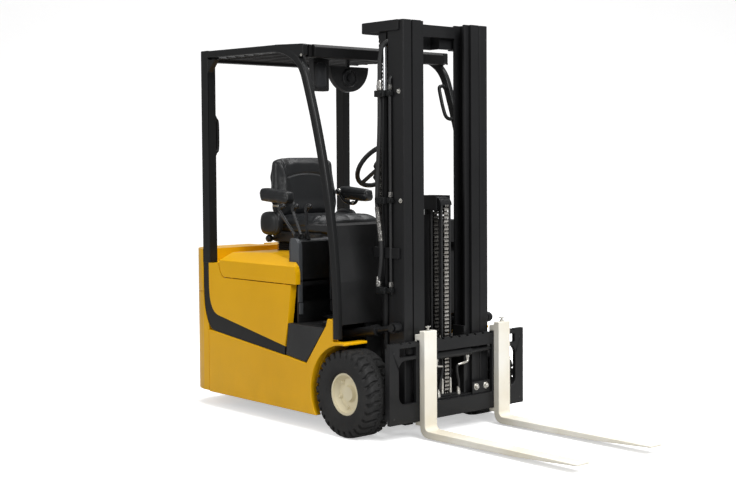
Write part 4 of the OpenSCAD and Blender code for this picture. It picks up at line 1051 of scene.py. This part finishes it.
def makeConsole():
    low, high = boxOf("lever_console")
    foot, rear = low[2] + 0.002, low[0] + 0.01
    # across the truck: the outer cheek, the inner one, and the face between them
    outer, inner = (low[1] - 0.001, low[1] + 0.026), (high[1] - 0.014, high[1] + 0.002)
    between = (low[1] + 0.028, high[1] - 0.016)
    cheeks = [cheekShape((rear, outer[0], foot), (high[0] + 0.012, outer[1], high[2] + 0.006)),
              cheekShape((rear, inner[0], foot), (high[0] + 0.010, inner[1], high[2] + 0.004))]
    addPiece("consoleCheeks", mergeShapes(*cheeks), "trimGrey", "hood", rounded=0.006)
    # a skirt hangs from the console over the seam above the wall
    front, seam, skirtFoot = high[0] + 0.001, low[2] + 0.02, consoleLook["skirtFoot"]
    outerSkirt, innerSkirt, drop = (boxShape((front, side[0], skirtFoot), (front + thick, side[1], seam))
                                    for side, thick in ((outer, 0.011), (inner, 0.009), (between, 0.003)))
    addPiece("consoleSkirts", mergeShapes(outerSkirt, innerSkirt), "trimGrey", "hood", rounded=0.003)
    face = boxShape((high[0] - 0.001, between[0], low[2] + 0.006),
                    (high[0] + consoleLook["proud"], between[1], high[2] - 0.012))
    addPiece("consoleFace", mergeShapes(drop, face), "blackPlastic", "hood", rounded=0.004)
    x = boxOf("battery_wall")[1][0]
    strips = [boxShape((x - 0.001, y0, consoleLook["wallLow"]), (x + thick, y1, consoleLook["wallTop"]))
              for y0, y1, thick in ((low[1] + 0.004, low[1] + 0.028, 0.010), (high[1] - 0.012, high[1] + 0.004, 0.008))]
    addPiece("wallTrim", mergeShapes(*strips), "trimGrey", "chassis", rounded=0.003)


makeConsole()

# steps: ribbed rubber on the tread
stepLook = {"ribs": 9, "height": 0.003, "first": -0.285, "last": -0.150, "half": 0.004, "across": (-0.525, -0.400)}


def makeTreads():
    top = boxOf("steps")[1][2]
    ribs = np.linspace(stepLook["first"] + axleX, stepLook["last"] + axleX, stepLook["ribs"])
    half, (outer, inner) = stepLook["half"], stepLook["across"]
    strip = boxShape((-half, outer, top - 0.0005), (half, inner, top + stepLook["height"]))
    right = repeatShape(strip, np.stack([ribs, 0 * ribs, 0 * ribs], axis=1))
    addPiece("stepRibs", bothSides(right), "hoseRubber", "chassis", rounded=0.0012)


makeTreads()
print("console and steps trimmed")

# carriage: hose lines, ferrules, end screws, a bolted stop and the fork latches
carriageLook = {"hose": 0.0075, "run": 0.0068, "capY": (-138, 116), "portY": (-112, 118),
                "cap": [(0.0205, 0), (0.0214, 0.002), (0.0214, 0.02), (0.0205, 0.022)],
                "port": [(0.010, 0), (0.010, 0.012), (0.008, 0.013), (0.008, 0.020)],
                "runs": ([(260, -84, 357), (256, -66, 355), (250, -58, 352)],
                         [(260, 90, 357), (256, 74, 354), (250, 62, 350)]),
                "hoses": ([(250, -58, 352), (246, -53, 340), (244, -56, 310), (243, -66, 270), (240, -72, 235),
                           (236, -74, 205), (236, -74, 186)],
                          [(250, 62, 350), (246, 54, 338), (244, 58, 305), (243, 68, 265), (240, 74, 235),
                           (236, 74, 205), (236, 74, 186)]),
                "end": [(0.0085, 0), (0.012, 0.003), (0.012, 0.022), (0.0095, 0.025), (0.0095, 0.045)],
                "setBack": 0.0145, "stopScrew": 0.021, "sunk": [(0.0055, -0.004), (0.0055, 0.0001)], "latchX": 0.018,
                "latch": [(0.011, -0.002), (0.011, 0.006), (0.006, 0.008), (0.006, 0.022), (0.004, 0.024)]}


def makeCarriageTrim():
    look = carriageLook
    low, high = boxOf("shift_frame")
    # end caps and ports of the shift barrel, with the pipes that leave the ports
    caps = [turnedShape(look["cap"], at(260, y, 415), leftward, 28) for y in look["capY"]]
    addPiece("shiftCaps", mergeShapes(*caps), "mastPaint", "carriage")
    ports = [turnedShape(look["port"], at(262, y, 397), (0, 0, -1), 6) for y in look["portY"]]
    elbows = [bentTube([(262, y, 380), (262, y, 366), (261, y + d * 0.4, 360), (260, y + d, 357)], 26, look["hose"])
              for y, d in zip(look["portY"], (30, -30))]
    runs = [bentTube(points, 20, look["run"]) for points in look["runs"]]
    addPiece("shiftPorts", mergeShapes(*ports, *elbows, *runs), "zincPlate", "carriage")
    # the two hoses that hang from the ports to the carriage's foot
    hoses = [bentTube(points, 60, look["hose"]) for points in look["hoses"]]
    addPiece("shiftHoses", mergeShapes(*hoses), "hoseRubber", "carriage")
    ends = repeatShape(turnedShape(look["end"], origin, upward, 18), path([points[-1] for points in look["hoses"]]))
    addPiece("hoseEnds", ends, "zincPlate", "carriage")
    # a stop plate with two bright screws, set back so that the forks slide past in front of it
    x = high[0]
    face = x - look["setBack"]
    stop = boxShape((face - 0.005, 0.152, 0.180), (face, 0.288, 0.246))
    addPiece("stopPlate", stop, "mastPaint", "shifter", rounded=0.004)
    heads = boltField([(face, y, 0.218) for y in (0.181, 0.254)], forward, look["stopScrew"])
    addPiece("stopScrews", heads, "zincPlate", "shifter")
    # sunk screws at the ends of the carriage plate
    screws = [turnedShape(look["sunk"], (x, y, z), forward, 20)
              for y in (low[1] + 0.03, high[1] - 0.03) for z in (0.125, 0.46)]
    addPiece("plateScrews", mergeShapes(*screws), "hoseRubber", "shifter")
    # latch: a sprung pin with a bent handle on each shank's head
    x += look["latchX"]
    for fork in ("fork_right", "fork_left"):
        low, high = boxOf(fork)
        y, top = (low[1] + high[1]) / 2, high[2]
        pin = turnedShape(look["latch"], (x, y, top), upward, 18)
        handle = [(x, y + out, top + rise) for out, rise in ((-0.017, 0.0215), (0, 0.0175), (0.017, 0.0215))]
        bar = tubeShape(smoothRoute(handle, 16), 0.0034, 10)
        addPiece("latch_" + fork[5:], mergeShapes(pin, bar), "zincPlate", fork)


makeCarriageTrim()
print("carriage trimmed")

# tilt cylinders: gland nuts and ports
tiltLook = {"rear": (-330, -345, 480), "ahead": (190, -345, 575), "glandBack": 0.172, "portAlong": 0.1,
            "gland": [(0.0275, 0), (0.0305, 0.003), (0.0305, 0.026), (0.024, 0.03)],
            "port": [(0.011, 0.02), (0.011, 0.038), (0.008, 0.04), (0.008, 0.05)]}


def makeTiltTrim():
    rear, ahead = at(*tiltLook["rear"]), at(*tiltLook["ahead"])
    along = unit(ahead - rear)
    length = np.linalg.norm(ahead - rear)
    gland = turnedShape(tiltLook["gland"], rear + along * (length - tiltLook["glandBack"]), along, 24)
    port = turnedShape(tiltLook["port"], rear + along * tiltLook["portAlong"], upward, 6)
    addPiece("tiltGlands", bothSides(mergeShapes(gland, port)), "blackPaint", "tilt_barrels")


makeTiltTrim()

# yellow sides and wheel houses: the flat over each tyre ends just past the pillar
sideLook = {"archX": -2, "archR": 256, "archDrop": 3, "flat": 15, "front": 20, "gap": 88, "step": 560, "seam": 767,
            "wall": -424, "thick": 0.04, "edge": 0.005, "houseFoot": 104, "houseEnd": 0.016}


def slabShape(outline, near, far):
    # an outline in a side view, in millimetres from the axle, between two places across the truck
    outline = np.asarray(outline, float) / 1000
    count = len(outline)
    flat = np.stack([outline[:, 0] + axleX, np.zeros(count), outline[:, 1]], axis=1)
    points = np.concatenate([flat + [0, near, 0], flat + [0, far, 0]])
    ring = np.arange(count)
    return points, [gridFaces(2, count, wrapCols=True), ring[None, ::-1], ring[None] + count]


def makeSides():
    look = sideLook
    low = boxOf("chassis_sides")[0]
    rear, step, seam, wall = (low[0] - axleX) * 1000, look["step"], look["seam"], look["wall"]
    radius, flat, inner = look["archR"], look["flat"], low[1] + look["thick"]
    archZ = wheelHigh[2] * 500 - look["archDrop"]
    top = archZ + radius

    def arch(radius, foot):
        # the wheel arch from its foot behind the tyre up to its crown
        angles = np.linspace(math.pi - math.asin((foot - archZ) / radius), math.pi / 2, 48)
        return np.stack([look["archX"] + radius * np.cos(angles), archZ + radius * np.sin(angles)], axis=1)

    nose = [(look["front"], top), (look["front"], top + flat)]
    above = [(-72, top + flat), (-71, step + 52), (-117, step + 52), (-130, step + 14), (-298, step - 201),
             (wall - 51, step - 179), (wall - 66, step - 179), (rear + 60, seam - 318), (rear, seam - 314)]
    outline = np.concatenate([[(rear, look["gap"])], arch(radius, look["gap"]), nose, above])
    side = slabShape(outline, low[1], inner)
    addPiece("sidePanels", bothSides(side), "yellowPaint", "chassis", ("chassis_sides",), look["edge"])
    foot = look["houseFoot"]
    outline = np.concatenate([arch(radius, foot), nose, arch(radius + flat, foot)[::-1]])
    house = slabShape(outline, inner, wheelHigh[1] - look["houseEnd"])
    addPiece("wheelHouses", bothSides(house), "yellowPaint", "chassis", ("fenders",), look["edge"])


makeSides()
print("sides made")

# guard: each side one bent bar from the fender to the rear leg, and a cheek in its bend
bowLook = {"wide": 0.036, "thick": (0.040, 0.047, 0.046, 0.040), "thickAt": (0, 25, 55, 70), "corner": 0.008,
           "pillar": ((-50, 510.5), (-45, 1195), (-294.5, 1880)), "bend": ((-294.5, 1880), (-350, 2034), (-560, 2048)),
           "railEnd": (-1189, 2058),
           "cheek": [(-352, 1984), (-302, 1999), (-300, 2004), (-300, 2054), (-306, 2058), (-552, 2069), (-470, 2034)]}


def sweptBar(route, thick, wide, corner):
    # a round-cornered section square to a route that stays in a side view, thick at each of its points
    along = unit(np.gradient(route, axis=0))
    lift = np.stack([-along[:, 2], 0 * along[:, 0], along[:, 0]], axis=1)
    section = roundedOutline((0.5, wide / 2), corner, 6)
    # the round corners keep their size: only the flat between them follows the thickness
    reach = np.sign(section[:, 0]) * (np.abs(section[:, 0]) - 0.5)
    offset = np.sign(section[:, 0]) * thick[:, None] / 2 + reach
    rings = route[:, None] + offset[:, :, None] * lift[:, None] + section[None, :, 1:] * np.array(leftward)
    return closedGrid(rings)


def quadratic(corners, count):
    # points on the curve that leaves the first towards the second and arrives at the third from it
    a, b, c = np.array(corners, float)
    t = np.linspace(0, 1, count)[:, None]
    return (1 - t)**2 * a + 2 * t * (1 - t) * b + t**2 * c


def makeGuardBars():
    outer, width = boxOf("guard_pillars")[0][1], bowLook["wide"]
    y = (outer + width / 2) * 1000
    rail = np.linspace(bowLook["bend"][-1], bowLook["railEnd"], 8)
    line = np.concatenate([quadratic(bowLook["pillar"], 40), quadratic(bowLook["bend"], 30)[1:], rail[1:]])
    route = path([(x, y, z) for x, z in line])
    thick = np.interp(np.arange(len(route)), bowLook["thickAt"], bowLook["thick"])
    bar = sweptBar(route, thick, width, bowLook["corner"])
    addPiece("guardBars", bothSides(bar), "blackPaint", "chassis", ("guard_pillars", "guard_rails"))
    outline = np.array(bowLook["cheek"]) / 1000 + [axleX, 0]
    cheek = plateShape(outline, width - 0.002, (0, outer + width / 2, 0), forward, upward)
    addPiece("guardCheeks", bothSides(cheek), "blackPaint", "chassis", rounded=0.004)


makeGuardBars()

# guard: screws, lamp glass, mirror glass and its boss
guardLook = {"screw": 0.009, "sideScrew": (-312, -541, 1998), "beamScrews": (-278, -223, 223, 278),
             "lampFoot": 0.056, "rim": ((-0.004, -0.002), (-0.004, 0.004), (0.004, 0.005), (0.006, 0.001)),
             "mirror": ((1, 0), (0.985, -0.003), (0.93, -0.003), (0.9, -0.0015), (0.6, -0.006), (0.3, -0.008),
                        (0.02, -0.0085)),
             "boss": [(0.052, -0.002), (0.052, 0.004), (0.047, 0.008), (0.040, 0.008), (0.038, 0.004),
                      (0.024, 0.004), (0.022, 0.012), (0.012, 0.013)]}


def facingRings(rings):
    # flat rings that look forward or back, each at its own x
    return closedGrid(np.array([np.column_stack([np.full(len(ring), x), ring]) for x, ring in rings]))


def makeGuardTrim():
    look = guardLook
    side = boltField(path([look["sideScrew"]]), rightward, look["screw"])
    beam = boltField(path([(-299.5, y, 2008) for y in look["beamScrews"]]), forward, look["screw"])
    addPiece("guardScrews", mergeShapes(side, mirrorShape(side), beam), "zincPlate", "chassis")
    # the glass is set in a raised rim and bulges a little
    low, high = boxOf("work_lamp")
    x, top = high[0], high[2] - look["lampFoot"]
    middle = np.array([(low[1] + high[1]) / 2, (low[2] + top) / 2])
    half = np.array([(high[1] - low[1]) / 2 - 0.012, (top - low[2]) / 2 - 0.016])
    rim = [(x + rise, roundedOutline(half - inset, 0.022) + middle) for inset, rise in look["rim"]]
    addPiece("lampRim", facingRings(rim), "blackPlastic", "chassis")
    dome = [(x + 0.001 + 0.004 * (1 - s**2), roundedOutline((half - 0.007) * s, 0.02 * s) + middle)
            for s in np.linspace(1, 0.02, 10)]
    addPiece("lampGlass", facingRings(dome), "lampGlass", "chassis")
    low, high = boxOf("rear_mirror")
    radius = (high[1] - low[1]) / 2
    y, z = (low[1] + high[1]) / 2, low[2] + radius
    turn = np.linspace(math.pi, 2 * math.pi, 49)
    edge = np.stack([np.cos(turn), np.sin(turn)], axis=1) * radius
    face = [(low[0] + rise, edge * s + [y, z - 0.002 - 0.012 * (1 - s)]) for s, rise in look["mirror"]]
    addPiece("mirrorGlass", facingRings(face), "mirrorFace", "chassis")
    boss = turnedShape(look["boss"], (at(-440, 0, 0)[0], y, z - 0.062), forward, 40)
    addPiece("mirrorBoss", boss, "glossPlastic", "chassis")


makeGuardTrim()
print("guard trimmed")

# studio: pale sweep, soft lamps and a plain world
studioLook = {"floor": (0.95, 0.95, 0.95), "fleck": 0.985, "near": -14.0, "half": 26.0, "sweepBack": 7.0,
              "sweepRadius": 3.5, "sweepTop": 9.0, "world": 0.34, "bounce": 0.34, "glow": 0.5, "mirrored": 0.2,
              "lamps": (("keyPanel", (5.5, -1.0, 5.2), (0, 0, 0.9), 4.0, 520.0),
                        ("sidePanel", (-1.5, -6.0, 3.6), (-0.4, 0, 0.8), 3.5, 130.0),
                        ("topPanel", (-0.5, 1.5, 6.5), (0, 0, 0.5), 5.0, 430.0))}


def makeStudio():
    # a strip floor bent up behind the truck, square to the camera
    look, white = studioLook, (1, 1, 1, 1)
    az = math.radians(cameraView["azimuth"])
    away = np.array([-math.sin(az), math.cos(az), 0.0])
    side = np.array([math.cos(az), math.sin(az), 0.0])
    bend = np.linspace(0, math.pi / 2, 24)
    back, radius = look["sweepBack"], look["sweepRadius"]
    reach = np.concatenate([[look["near"]], back + radius * np.sin(bend), [back + radius]])
    height = np.concatenate([[0.0], radius * (1 - np.cos(bend)), [look["sweepTop"]]])
    across = np.array([-look["half"], look["half"]])
    points = (reach[:, None, None] * away + across[None, :, None] * side
              + height[:, None, None] * np.array(upward))
    sweep = meshObject("studioSweep", *gridShape(points))
    mat, tree, shader = startMaterial("sweepPaper", Roughness=0.9, Emission_Color=white)
    clouds = useGroup(tree, cloudGroup, Scale=0.6, Detail=2.0)["Mask"]
    paper = blendColours(tree, clouds, look["floor"], tuple(c * look["fleck"] for c in look["floor"]))
    # the camera sees the paper white, while the truck is lit by a darker one
    light = addNode(tree, "LightPath").outputs
    glossy = compute(tree, "MULTIPLY", light["Is Glossy Ray"], look["mirrored"])
    seen = compute(tree, "MAXIMUM", light["Is Camera Ray"], glossy)
    plug(tree, shader, "Base Color", blendColours(tree, seen, (look["bounce"],) * 3, paper))
    plug(tree, shader, "Emission Strength", compute(tree, "MULTIPLY", seen, look["glow"]))
    sweep.data.materials.append(mat)
    world = bpy.data.worlds.new("softWorld")
    scene.world = world
    world.use_nodes = True
    background = world.node_tree.nodes["Background"]
    background.inputs["Color"].default_value = white
    background.inputs["Strength"].default_value = look["world"]
    for name, place, aim, size, power in look["lamps"]:
        data = bpy.data.lights.new(name, "AREA")
        data.shape = "SQUARE"
        data.size = size
        data.energy = power
        lamp = bpy.data.objects.new(name, data)
        direction = Vector(aim) - Vector(place)
        lamp.matrix_world = Matrix.Translation(place) @ direction.to_track_quat("-Z", "Y").to_matrix().to_4x4()
        scene.collection.objects.link(lamp)


makeStudio()
print("studio lit")
